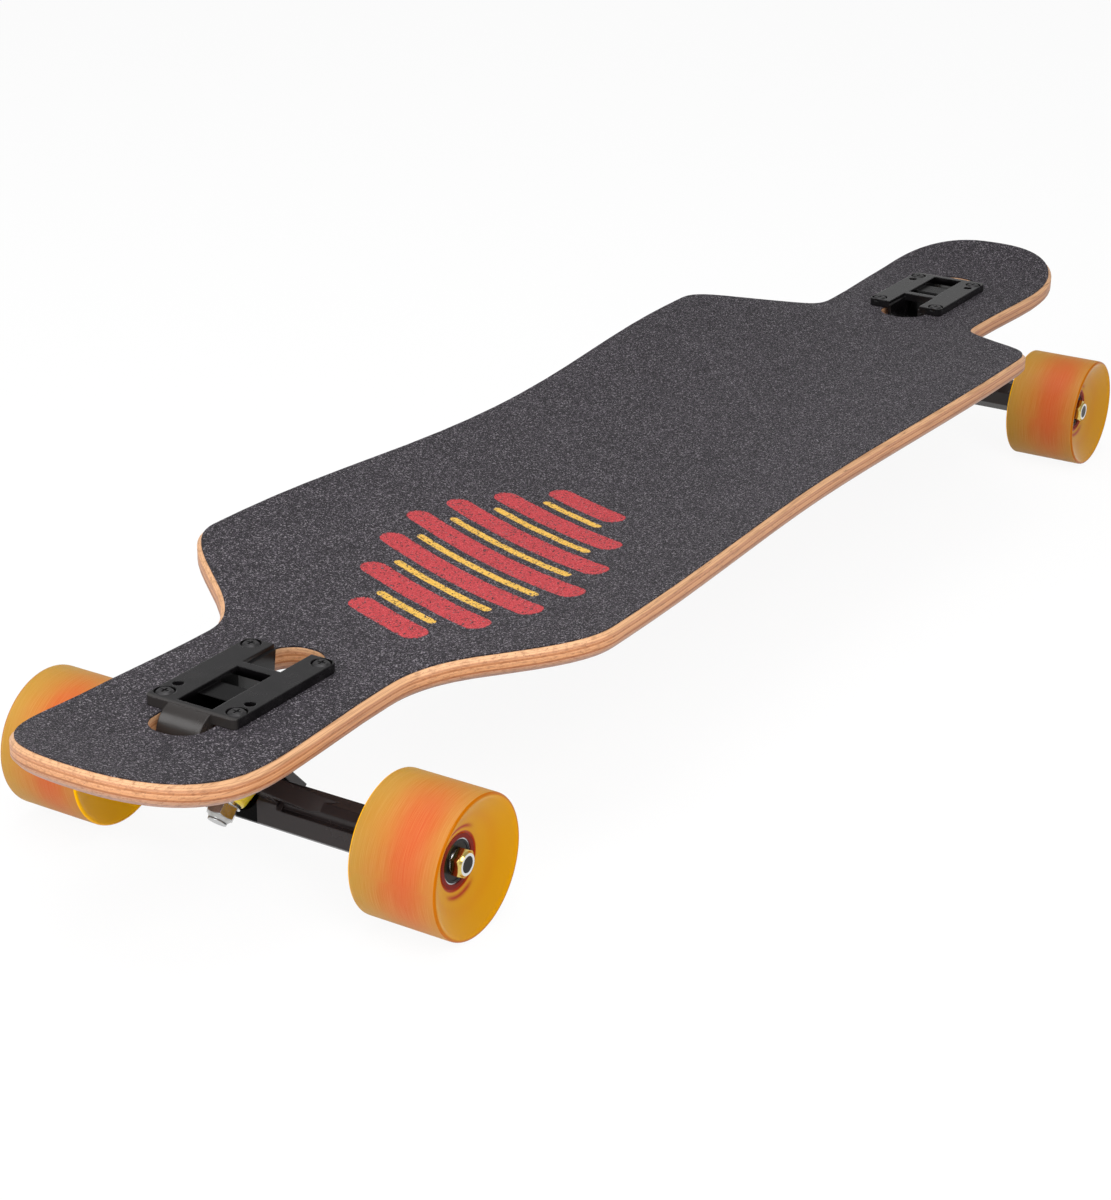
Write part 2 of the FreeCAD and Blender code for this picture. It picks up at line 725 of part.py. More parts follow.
def chamfer_hex(body, name, flats, face, side):
    """Bevels the corners of a hexagon at one end, on the kingpin's axis."""
    outer = f"({flats} / 2 / cos(30))"
    sketch = new_sketch(body, name, "XZ_Plane")
    inner = f"({flats} / 2)"
    fall = f"({outer} - {inner}) * tan(30)"
    add_polygon(sketch, [
        (inner, face),
        (f"2 * {outer} - {inner}", face),
        (f"2 * {outer} - {inner}", f"{face} {'+' if side > 0 else '-'} 2 * {fall}"),
    ])
    turn(body, "Groove", sketch, f"{name}_cut", "V_Axis")


def make_kingpin():
    body = new_body("front_kingpin", STEER_FRAME)
    shank = new_sketch(body, "kingpin_plan", "XY_Plane", shift(f"-{KINGPIN_END}"))
    add_circle(shank, "0", "0", "sizes.kingpin_diameter / 2")
    extrude(body, "Pad", shank, "kingpin_shank", f"{KINGPIN_END} + {WALL_BACK}")
    head = new_sketch(body, "kingpin_head_plan", "XY_Plane", shift(WALL_BACK))
    add_hexagon(head, "sizes.kingpin_head_flats")
    extrude(body, "Pad", head, "kingpin_head", "sizes.kingpin_head_height")
    chamfer_hex(body, "kingpin_head_bevel", "sizes.kingpin_head_flats",
                f"({WALL_BACK} + sizes.kingpin_head_height)", -1)
    return body


def make_kingpin_nut():
    body = new_body("front_kingpin_nut", STEER_FRAME)
    plan = new_sketch(body, "kingpin_nut_plan", "XY_Plane", shift(f"-{KINGPIN_NUT_END}"))
    add_hexagon(plan, "sizes.kingpin_nut_flats")
    add_circle(plan, "0", "0", "sizes.kingpin_diameter / 2")
    extrude(body, "Pad", plan, "kingpin_nut_block", "sizes.kingpin_nut_height")
    chamfer_hex(body, "kingpin_nut_bevel", "sizes.kingpin_nut_flats", f"-{KINGPIN_NUT_END}", 1)
    collar = new_sketch(body, "kingpin_collar_profile", "XZ_Plane")
    collar_end = f"-{KINGPIN_NUT_END} - sizes.kingpin_nut_collar"
    radius = "(sizes.kingpin_nut_flats / 2)"
    add_polygon(collar, [
        ("sizes.kingpin_diameter / 2", f"-{KINGPIN_NUT_END}"),
        (f"{radius} - sizes.kingpin_nut_collar / 4", f"-{KINGPIN_NUT_END}"),
        (f"{radius} - sizes.kingpin_nut_collar", collar_end),
        ("sizes.kingpin_diameter / 2", collar_end),
    ])
    turn(body, "Revolution", collar, "kingpin_collar", "V_Axis")
    return body


def make_bushings():
    radius = "(sizes.bushing_diameter / 2)"
    board = new_body("front_board_bushing", STEER_FRAME)
    profile = new_sketch(board, "board_bushing_profile", "XZ_Plane")
    add_rectangle(profile, KINGPIN_BORE, radius, BUSHING_SEAT, BOARD_WASHER)
    turn(board, "Revolution", profile, "board_bushing_form", "V_Axis")
    road = new_body("front_road_bushing", STEER_FRAME)
    cone = new_sketch(road, "road_bushing_profile", "XZ_Plane")
    tip = "sizes.road_bushing_tip_diameter / 2"
    add_polygon(cone, [
        (KINGPIN_BORE, f"-{BUSHING_SEAT}"),
        (radius, f"-{BUSHING_SEAT}"),
        (radius, f"-{RING_FACE}"),
        (tip, f"-{ROAD_WASHER}"),
        (KINGPIN_BORE, f"-{ROAD_WASHER}"),
    ])
    turn(road, "Revolution", cone, "road_bushing_form", "V_Axis")
    return board, road


def make_bushing_washers():
    """A flat washer at each end of the stack."""
    body = new_body("front_bushing_washers", STEER_FRAME)
    profile = new_sketch(body, "washer_profiles", "XZ_Plane")
    for sign, size, seat, face in (("", "sizes.board_washer_diameter", BOARD_WASHER, WALL_FACE),
                                   ("-", "sizes.road_washer_diameter", ROAD_WASHER, KINGPIN_NUT)):
        add_rectangle(profile, KINGPIN_BORE, f"{size} / 2", f"{sign}{seat}", f"{sign}{face}")
    turn(body, "Revolution", profile, "washers", "V_Axis")
    return body


def make_pivot_cup():
    body = new_body("front_pivot_cup", STEER_FRAME)
    profile = new_sketch(body, "cup_profile", "XZ_Plane")
    add_polygon(profile, [
        (f"-{CUP_END}", "0"),
        (f"-{CUP_INSIDE}", "0"),
        (f"-{CUP_INSIDE}", CUP_BORE),
        ("-sizes.cup_mouth", CUP_BORE),
        ("-sizes.cup_mouth", CUP_RADIUS),
        (f"-{CUP_END}", CUP_RADIUS),
    ])
    turn(body, "Revolution", profile, "cup", "H_Axis")
    return body


# Truck: hanger and axle


def make_hanger():
    body = new_body("front_hanger", STEER_FRAME)
    level = "rotation(vector(0; 0; 1); -sizes.pivot_angle)"
    at_axle = f"placement(vector(-sizes.ring_reach; -sizes.rake; 0); {level})"
    section = new_sketch(body, "beam_section", "XZ_Plane", at_axle)
    deep = "(sizes.beam_depth / 2)"
    low = "(sizes.beam_rise - sizes.beam_height / 2)"
    high = "(sizes.beam_rise + sizes.beam_height / 2)"
    cut = "sizes.beam_corner"
    trim = "sizes.beam_low_corner"
    add_polygon(section, [
        (f"-{deep} + {cut}", low), (f"{deep} - {trim}", low), (deep, f"{low} + {trim}"), (deep, f"{high} - {cut}"),
        (f"{deep} - {cut}", high), (f"-{deep} + {cut}", high), (f"-{deep}", f"{high} - {cut}"),
        (f"-{deep}", f"{low} + {cut}"),
    ])
    extrude(body, "Pad", section, "beam", "sizes.hanger_width", symmetric=True)
    web = new_sketch(body, "web_plan", "XY_Plane", shift("-sizes.web_drop"))
    wide = "(sizes.web_span / 2)"
    crown = "(sizes.web_crown_width / 2)"
    near = "(sizes.web_foot - sizes.ring_reach)"
    far = "-sizes.ring_reach"
    add_polygon(web, [
        ("sizes.web_crown", crown), (near, wide), (far, wide),
        (far, f"-{wide}"), (near, f"-{wide}"), ("sizes.web_crown", f"-{crown}"),
    ])
    extrude(body, "Pad", web, "web", "sizes.web_thickness", symmetric=True)
    ring = new_sketch(body, "ring_plan", "XY_Plane")
    add_circle(ring, "0", "0", "sizes.ring_diameter / 2")
    extrude(body, "Pad", ring, "ring", "sizes.ring_thickness", symmetric=True)
    nose = new_sketch(body, "nose_profile", "XZ_Plane")
    tip = "sizes.nose_diameter / 2"
    round_off = "sizes.nose_diameter / 4"
    add_polygon(nose, [
        ("-sizes.ring_reach", "0"),
        ("-sizes.ring_reach", "sizes.nose_base_diameter / 2"),
        ("-sizes.nose_base_reach", "sizes.nose_base_diameter / 2"),
        ("-sizes.nose_neck_reach", tip),
        (f"{round_off} - sizes.nose_reach", tip),
        ("-sizes.nose_reach", round_off),
        ("-sizes.nose_reach", "0"),
    ])
    turn(body, "Revolution", nose, "nose", "H_Axis")
    hole = new_sketch(body, "ring_hole_plan", "XY_Plane")
    add_circle(hole, "0", "0", "sizes.ring_hole_diameter / 2")
    extrude(body, "Pocket", hole, "ring_hole", "3 * sizes.ring_thickness", symmetric=True)
    seats = new_sketch(body, "bushing_seat_profiles", "XZ_Plane")
    seat_radius = "(sizes.bushing_diameter / 2 + sizes.bushing_clearance)"
    for sign, end in (("", BOARD_WASHER), ("-", KINGPIN_NUT_END)):
        add_rectangle(seats, "0", seat_radius, f"{sign}{BUSHING_SEAT}", f"{sign}{end}")
    turn(body, "Groove", seats, "bushing_seats", "V_Axis")
    pockets = new_sketch(body, "web_pocket_plan", "XY_Plane", shift("-sizes.web_drop - sizes.web_thickness / 2"))
    floor = f"({near} + sizes.web_rib)"
    for sign in ("", "-"):
        add_polygon(pockets, [
            (floor, f"{sign}sizes.web_pocket_near"),
            ("sizes.web_crown - 2 * sizes.web_rib", f"{sign}sizes.web_pocket_near"),
            (floor, f"{sign}sizes.web_pocket_far"),
        ])
    extrude(body, "Pocket", pockets, "web_pockets", "2 * sizes.web_pocket_depth", symmetric=True)
    for name, sign in (("left", "-"), ("right", "")):
        middle = f"{sign}(sizes.channel_start + sizes.channel_length / 2)"
        at_side = f"placement(vector(-sizes.ring_reach; -sizes.rake; {middle}); {level})"
        channel = new_sketch(body, f"{name}_channel_section", "XZ_Plane", at_side)
        add_rectangle(channel, f"{deep} - sizes.channel_depth", f"{deep} + sizes.channel_depth",
                      "sizes.channel_low", "sizes.channel_low + sizes.channel_height")
        extrude(body, "Pocket", channel, f"{name}_channel", "sizes.channel_length", symmetric=True)
    bore = new_sketch(body, "axle_bore_plan", "XZ_Plane")
    add_circle(bore, "-sizes.ring_reach", "-sizes.rake", "sizes.axle_diameter / 2")
    extrude(body, "Pocket", bore, "axle_bore", "sizes.hanger_width + 2", symmetric=True)
    return body


def make_axle():
    body = new_body("front_axle", AXLE_FRAME)
    plan = new_sketch(body, "axle_plan", "XZ_Plane")
    add_circle(plan, "0", "0", "sizes.axle_diameter / 2")
    extrude(body, "Pad", plan, "axle_rod", f"2 * {AXLE_END}", symmetric=True)
    return body


def make_axle_nuts():
    body = new_body("front_axle_nuts", AXLE_FRAME)
    hex_end = f"({NUT_Y} + sizes.axle_nut_height)"
    for name, base in (("left", f"-{hex_end}"), ("right", NUT_Y)):
        plan = new_sketch(body, f"{name}_nut_plan", "XZ_Plane", shift(base))
        add_hexagon(plan, "sizes.axle_nut_flats")
        add_circle(plan, "0", "0", "sizes.axle_diameter / 2")
        extrude(body, "Pad", plan, f"{name}_nut", "sizes.axle_nut_height")
    flat = "(sizes.axle_nut_flats / 2)"
    corner = "(sizes.axle_nut_flats / 2 / cos(30))"
    bevel = new_sketch(body, "nut_bevels", "XY_Plane")
    collar = new_sketch(body, "nut_collars", "XY_Plane")
    for sign in ("", "-"):
        reach = f"(2 * {corner} - {flat})"
        add_polygon(bevel, [
            (flat, f"{sign}{hex_end}"),
            (reach, f"{sign}{hex_end}"),
            (reach, f"{sign}({hex_end} - 2 * ({corner} - {flat}) * tan(30))"),
        ])
        add_polygon(collar, [
            ("sizes.axle_diameter / 2", f"{sign}{hex_end}"),
            (f"{flat} - sizes.axle_nut_collar / 4", f"{sign}{hex_end}"),
            (f"{flat} - sizes.axle_nut_collar", f"{sign}{AXLE_END}"),
            ("sizes.axle_diameter / 2", f"{sign}{AXLE_END}"),
        ])
    turn(body, "Groove", bevel, "nut_bevel_cuts", "V_Axis")
    turn(body, "Revolution", collar, "nut_collar_rings", "V_Axis")
    return body


def make_speed_rings():
    body = new_body("front_speed_rings", AXLE_FRAME)
    profile = new_sketch(body, "speed_ring_profiles", "XY_Plane")
    for start in (HANGER_END, f"({NUT_Y} - sizes.speed_ring_thickness)"):
        for sign in ("", "-"):
            add_rectangle(profile, "sizes.axle_diameter / 2", "sizes.speed_ring_diameter / 2",
                          f"{sign}{start}", f"{sign}({start} + sizes.speed_ring_thickness)")
    turn(body, "Revolution", profile, "speed_rings", "V_Axis")
    return body


# Wheel and its bearings, drawn about the wheel's middle

BEARING_MIDDLE = "(sizes.spacer_length / 2 + sizes.bearing_width / 2)"
RACE_RADIUS = "(sizes.ball_diameter / 2 + sizes.race_clearance)"
CORE_SIDE = f"({BEARING_FAR} + sizes.core_lip)"
CORE_OUTSIDE = [
    ("sizes.core_shoulder_diameter / 2", CORE_SIDE),
    ("sizes.core_diameter / 2", "(sizes.core_body_width / 2)"),
]


def ring_pair(name, inner, outer):
    body = new_body(name, WHEEL_FRAME)
    profile = new_sketch(body, f"{name}_profile", "XY_Plane")
    for sign in ("", "-"):
        add_rectangle(profile, inner, outer, f"{sign}{BEARING_NEAR}", f"{sign}{BEARING_FAR}")
    turn(body, "Revolution", profile, f"{name}_blank", "V_Axis")
    race = new_sketch(body, f"{name}_race", "XY_Plane")
    for sign in ("", "-"):
        add_circle(race, "sizes.bearing_pitch / 2", f"{sign}{BEARING_MIDDLE}", RACE_RADIUS)
    turn(body, "Groove", race, f"{name}_races", "V_Axis")
    return body


def shield_spans():
    """Sign and edges of each shield along the axle, outermost edge first."""
    spans = []
    for sign in ("", "-"):
        outer = f"({BEARING_FAR} - sizes.shield_inset)"
        spans.append((f"{sign}{outer}", f"{sign}({outer} - sizes.shield_thickness)"))
        inner = f"({BEARING_NEAR} + sizes.shield_inset)"
        spans.append((f"{sign}{inner}", f"{sign}({inner} + sizes.shield_thickness)"))
    return spans


def make_bearings():
    outer = ring_pair("front_left_bearing_outer_rings", "sizes.outer_ring_bore / 2", "sizes.bearing_diameter / 2")
    seat_radius = "(sizes.outer_ring_bore / 2 + sizes.shield_seat)"
    seats = new_sketch(outer, "shield_seat_profiles", "XY_Plane")
    for low, high in shield_spans():
        add_rectangle(seats, "sizes.bearing_pitch / 2", seat_radius, low, high)
    turn(outer, "Groove", seats, "shield_seats", "V_Axis")
    inner = ring_pair("front_left_bearing_inner_rings", "sizes.axle_diameter / 2", "sizes.inner_ring_diameter / 2")

    shields = new_body("front_left_bearing_shields", WHEEL_FRAME)
    profile = new_sketch(shields, "shield_profiles", "XY_Plane")
    for low, high in shield_spans():
        add_rectangle(profile, "sizes.inner_ring_diameter / 2 + sizes.shield_gap", seat_radius, low, high)
    turn(shields, "Revolution", profile, "shields", "V_Axis")

    balls = bearing_places("front_left_bearing_balls", "Part::Sphere", "sizes.ball_diameter / 2",
                           "sizes.bearing_pitch / 2")
    pockets = bearing_places("front_left_cage_pockets", "Part::Cylinder",
                             "(sizes.ball_diameter / 2 + sizes.cage_clearance)", "0")
    blank = new_body("front_left_cage_blank", WHEEL_FRAME)
    hoop = new_sketch(blank, "cage_profiles", "XY_Plane")
    middle, half = "(sizes.bearing_pitch / 2)", "(sizes.cage_thickness / 2)"
    for sign in ("", "-"):
        add_rectangle(hoop, f"{middle} - {half}", f"{middle} + {half}",
                      f"{sign}({BEARING_MIDDLE} - sizes.cage_width / 2)",
                      f"{sign}({BEARING_MIDDLE} + sizes.cage_width / 2)")
    turn(blank, "Revolution", hoop, "cage_hoops", "V_Axis")
    cages = doc.addObject("Part::Cut", "front_left_bearing_cages")
    cages.Base = blank
    cages.Tool = pockets

    spacer = new_body("front_left_bearing_spacer", WHEEL_FRAME)
    tube = new_sketch(spacer, "spacer_profile", "XY_Plane")
    add_rectangle(tube, "sizes.axle_diameter / 2", "sizes.spacer_diameter / 2", f"-{BEARING_NEAR}", BEARING_NEAR)
    turn(spacer, "Revolution", tube, "spacer_tube", "V_Axis")
    return outer, inner, shields, balls, cages, spacer


def bearing_places(name, kind, radius, reach):
    """A sphere or a radial rod at each ball of both bearings."""
    count = int(value("sizes.ball_count"))
    pieces = []
    for side, sign in (("out", "+"), ("in", "-")):
        middle = f"placement(vector({AXLE_X}; {WHEEL_Y} {sign} {BEARING_MIDDLE}; {AXLE_Z}); {LEVEL})"
        for index in range(count):
            turned = f"placement(vector(0; 0; 0); rotation(vector(0; 1; 0); 360 * {index} / {count}))"
            piece = doc.addObject(kind, f"{name}_{side}_{index + 1}")
            piece.setExpression("Radius", radius)
            piece.setExpression("Placement", f"{middle} * {turned} * {shift(reach)}")
            if kind == "Part::Cylinder":
                piece.setExpression("Height", "sizes.bearing_diameter / 2")
            pieces.append(piece)
    return group(name, pieces)


def make_core():
    body = new_body("front_left_core", WHEEL_FRAME)
    profile = new_sketch(body, "core_profile", "XY_Plane")
    half = [("sizes.core_rib_bore / 2", BEARING_NEAR), ("sizes.bearing_diameter / 2", BEARING_NEAR),
            ("sizes.bearing_diameter / 2", CORE_SIDE)] + CORE_OUTSIDE
    add_polygon(profile, half + [(x, f"-{y}") for x, y in reversed(half)])
    turn(body, "Revolution", profile, "core_form", "V_Axis")
    return body


def make_tyre():
    """Square-lipped tyre whose faces dish in to the core."""
    body = new_body("front_left_tyre", WHEEL_FRAME)
    profile = new_sketch(body, "tyre_profile", "XY_Plane")
    tread = "(sizes.wheel_diameter / 2)"
    edge = "(sizes.wheel_width / 2)"
    lip = f"({tread} - sizes.tyre_lip)"
    half = CORE_OUTSIDE[::-1] + [
        ("sizes.dish_station", f"({CORE_SIDE} + sizes.dish_height)"),
        (lip, f"({edge} - sizes.tyre_lip_drop)"),
        (f"({lip} + sizes.tyre_lip_drop / 2)", edge),
        (f"({tread} - sizes.tread_bevel)", edge),
        (tread, f"({edge} - sizes.tread_bevel)"),
    ]
    add_polygon(profile, half + [(x, f"-{y}") for x, y in reversed(half)])
    turn(body, "Revolution", profile, "tyre_form", "V_Axis")
    return body


# Assembly

make_deck()

bolts, nuts = make_deck_bolts()
board_bushing, road_bushing = make_bushings()
front_truck = {
    "baseplate": make_baseplate(),
    "deck_bolts": bolts,
    "deck_nuts": nuts,
    "pivot_cup": make_pivot_cup(),
    "kingpin": make_kingpin(),
    "kingpin_nut": make_kingpin_nut(),
    "bushing_washers": make_bushing_washers(),
    "board_bushing": board_bushing,
    "road_bushing": road_bushing,
    "hanger": make_hanger(),
    "axle": make_axle(),
    "axle_nuts": make_axle_nuts(),
    "speed_rings": make_speed_rings(),
}
for name, item in front_truck.items():
    keep(item, f"front_{name}")
    keep(mirrored(item, f"rear_{name}", Vector(1, 0, 0)), f"rear_{name}")

outer_rings, inner_rings, shields, balls, cages, spacer = make_bearings()
left_wheel = {
    "tyre": make_tyre(),
    "core": make_core(),
    "bearing_outer_rings": outer_rings,
    "bearing_inner_rings": inner_rings,
    "bearing_shields": shields,
    "bearing_balls": balls,
    "bearing_cages": cages,
    "bearing_spacer": spacer,
}
for name, item in left_wheel.items():
    keep(item, f"front_left_{name}")
    right = keep(mirrored(item, f"front_right_{name}", Vector(0, 1, 0)), f"front_right_{name}")
    keep(mirrored(item, f"rear_left_{name}", Vector(1, 0, 0)), f"rear_left_{name}")
    keep(mirrored(right, f"rear_right_{name}", Vector(1, 0, 0)), f"rear_right_{name}")

doc.recompute()
for item in doc.Objects:
    if "Invalid" in item.State or "Error" in item.State:
        raise RuntimeError(f"{item.Label} failed: {item.State}")
for item in nodes:
    if item.Shape.isNull() or not item.Shape.isValid() or not item.Shape.Solids:
        raise RuntimeError(f"{item.Label} has no sound shape")

os.makedirs("parts", exist_ok=True)
for item in nodes:
    item.Shape.exportStep(f"parts/{item.Label}.step")
print(len(nodes), "nodes")
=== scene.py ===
import math

import bpy
import numpy as np
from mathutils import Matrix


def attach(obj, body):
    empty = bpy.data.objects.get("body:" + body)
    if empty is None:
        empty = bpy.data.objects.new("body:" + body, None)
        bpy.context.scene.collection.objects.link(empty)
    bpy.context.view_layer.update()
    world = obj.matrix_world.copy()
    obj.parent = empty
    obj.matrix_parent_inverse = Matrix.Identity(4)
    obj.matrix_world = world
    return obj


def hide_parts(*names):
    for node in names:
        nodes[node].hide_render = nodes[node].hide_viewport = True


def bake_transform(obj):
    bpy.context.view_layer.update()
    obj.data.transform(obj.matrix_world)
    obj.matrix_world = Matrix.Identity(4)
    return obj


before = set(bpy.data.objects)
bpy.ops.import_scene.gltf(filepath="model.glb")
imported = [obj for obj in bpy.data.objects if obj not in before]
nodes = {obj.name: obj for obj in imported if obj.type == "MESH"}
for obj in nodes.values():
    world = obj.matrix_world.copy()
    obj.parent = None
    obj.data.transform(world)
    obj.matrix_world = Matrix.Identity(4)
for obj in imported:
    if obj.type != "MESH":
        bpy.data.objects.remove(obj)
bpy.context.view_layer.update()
ENDS = {"front": 1.0, "rear": -1.0}
SIDES = {"left": 1.0, "right": -1.0}

# Places in metres, as in the construction
AXLE = (0.3768, 0.103, 0.035)
AXLE_TIP = 0.1209
RING = (0.384628, 0.052463)
PIVOT_TURN = math.radians(46)
DECK = {
    "top": 0.0928, "thickness": 0.011, "half_length": 0.504, "half_shoulder": 0.1227,
    "concave": 0.0128, "fade_start": 0.299, "fade_end": 0.339, "kick_start": 0.424,
    "kick": 0.0125, "rocker": 0.260, "rocker_drop": 0.0025,
}
POCKET = {"middle": 0.394, "half_length": 0.0222, "half_width": 0.0101, "rim": (0.0950, 0.0982)}
TONGUE = {"start": (0.4170, 0.4190), "foot": (0.080, 0.086)}
HANGER_TOP = (0.066, 0.074)
NUT_COLLAR = {"start": (0.12000, 0.12012), "radius": 0.0053}
BEARING_RIM = (0.01042, 0.01052)

# Bushings: seat and washer along the kingpin, and the radius at the washer
BUSHINGS = {"board": (0.0020, 0.0165, 0.0120), "road": (-0.0020, -0.0160, 0.0085)}
BUSHING_RADIUS, BUSHING_BORE = 0.0120, 0.00495
BUSHING_LIP, LIP_FALL = 0.0004, 80
BUSHING_ROWS, BUSHING_TURNS = 15, 72

# Tyre's section from the hub to the tread, in millimetres: radius and distance from the middle
FACE = [(13.2, 12.5), (15.0, 12.75), (17.5, 13.5), (20.0, 14.5), (22.5, 15.8), (25.0, 17.4), (27.5, 19.2),
        (29.5, 20.75), (31.0, 21.85), (32.0, 22.6), (32.7, 23.1), (33.3, 23.42), (33.8, 23.5), (34.3, 23.36),
        (34.7, 23.05), (34.92, 22.6), (35.0, 22.1)]
SEAT = [(17.0, -9.0), (17.0, 9.0)]
TREAD_STEP = 2.5
MILLIMETRES = 1000
TYRE_TURNS = 160

# Colour on the tyre, in metres: fades are given by their two ends, bell curves by middle and width. Hub, arc,
# rim and inner face carry painted shade, painted refraction of the red core and a painted glow
TYRE = {
    "tread": (0.03485, 0.03498), "glow": (0.0062, 0.0165), "hub": (0.0140, 0.0150), "arc": (0.0170, 0.0011),
    "ring": (0.0232, 0.0026), "rim": (0.0330, 0.0344), "dish_end": (0.031, 0.034), "inner_face": 0.010,
}
PAINTED_GLOW_TURN = math.radians(26)

# Print on the grip tape
PRINT_MIDDLE = (0.185, 0.010)
PRINT_TURN = math.radians(68)
PRINT_STEP = 0.0315
RED_BARS = (0.060, 0.106, 0.136, 0.150, 0.136, 0.106, 0.060)
YELLOW_BARS = (0.050, 0.084, 0.106, 0.106, 0.084, 0.050)
RED_WIDTH, YELLOW_WIDTH = 0.0142, 0.0046

# Studio: floor, sky from the horizon upwards, lamps in watts, and the camera fitted to the photograph
FLOOR_HALF = 30.0
FLOOR_WHITE = 0.92
SKY_FADE = (0.06, 0.24)
SKY_LEVEL = (0.95, 0.46)
LAMPS = {
    "key": {"place": (1.0, 1.1, 1.3), "target": (0.3, 0, 0.05), "size": (1.2, 0.9), "watts": 19},
    "top": {"place": (0.25, -0.1, 1.7), "target": (0.2, 0, 0), "size": (1.6, 1.2), "watts": 15},
    "fill": {"place": (1.5, -1.2, 1.3), "target": (0.35, 0, 0.08), "size": (0.9, 0.9), "watts": 10},
    "low": {"place": (1.6, 0.1, 0.55), "target": (0.35, 0, 0.05), "size": (0.9, 0.6), "watts": 7},
}
SENSOR = 36.0
FOCAL_PIXELS, PICTURE_HEIGHT = 2623.69, 1200
CAMERA_PLACE = (1.242355, 0.691875, 0.602594)
CAMERA_TURN = (1.1705818, -0.01238593, 2.12278738)
CLIP_END = 100


# Meshes


def grid_mesh(name, points, finish, places):
    """Closed tube of quads over a grid of points: row i and column j join row i + 1 and column j + 1, both
    wrapping round. Faces are turned outwards where the signed volume comes out negative. Each point keeps its
    own place on the section as an attribute."""
    rows, columns = points.shape[:2]
    i, j = np.meshgrid(np.arange(rows), np.arange(columns), indexing="ij")
    i_next, j_next = (i + 1) % rows, (j + 1) % columns
    corners = [i * columns + j, i_next * columns + j, i_next * columns + j_next, i * columns + j_next]
    quads = np.stack(corners, axis=-1).reshape(-1, 4)
    flat = points.reshape(-1, 3)
    corner = [flat[quads[:, k]] for k in range(4)]
    volume = np.einsum("ij,ij->i", corner[0], np.cross(corner[1], corner[2])).sum()
    volume += np.einsum("ij,ij->i", corner[0], np.cross(corner[2], corner[3])).sum()
    if volume < 0:
        quads = quads[:, ::-1]
    mesh = bpy.data.meshes.new(name)
    mesh.from_pydata(flat.tolist(), [], quads.tolist())
    mesh.polygons.foreach_set("use_smooth", np.ones(len(quads), dtype=bool))
    layer = mesh.attributes.new("place", "FLOAT_VECTOR", "POINT")
    layer.data.foreach_set("vector", places.reshape(-1).astype(np.float32))
    mesh.materials.append(finish)
    piece = bpy.data.objects.new(name, mesh)
    bpy.context.scene.collection.objects.link(piece)
    return piece


def turned(profile, centre, along, out, turns):
    """Surface of revolution: centre + height * along + radius * (cos t * out + sin t * side), for each
    (radius, height) of the profile and each turn t. Also gives (radius, height, t) for each point."""
    along, out = np.asarray(along), np.asarray(out)
    side = np.cross(along, out)
    angle = np.linspace(0, 2 * np.pi, turns, endpoint=False)
    spoke = np.cos(angle)[:, None] * out + np.sin(angle)[:, None] * side
    radius, height = profile[:, 0], profile[:, 1]
    points = np.asarray(centre) + height[:, None, None] * along + radius[:, None, None] * spoke[None]
    places = np.stack(np.broadcast_arrays(radius[:, None], height[:, None], angle[None, :]), axis=-1)
    return points, places


def spaced(corners, step):
    """Points along a broken line, no further apart than step, each run divided evenly."""
    corners = np.asarray(corners, dtype=float)
    runs = []
    for start, end in zip(corners[:-1], corners[1:]):
        count = max(1, math.ceil(np.linalg.norm(end - start) / step))
        runs.append(start + (end - start) * np.arange(count)[:, None] / count)
    return np.concatenate(runs + [corners[-1:]])


# Finishes


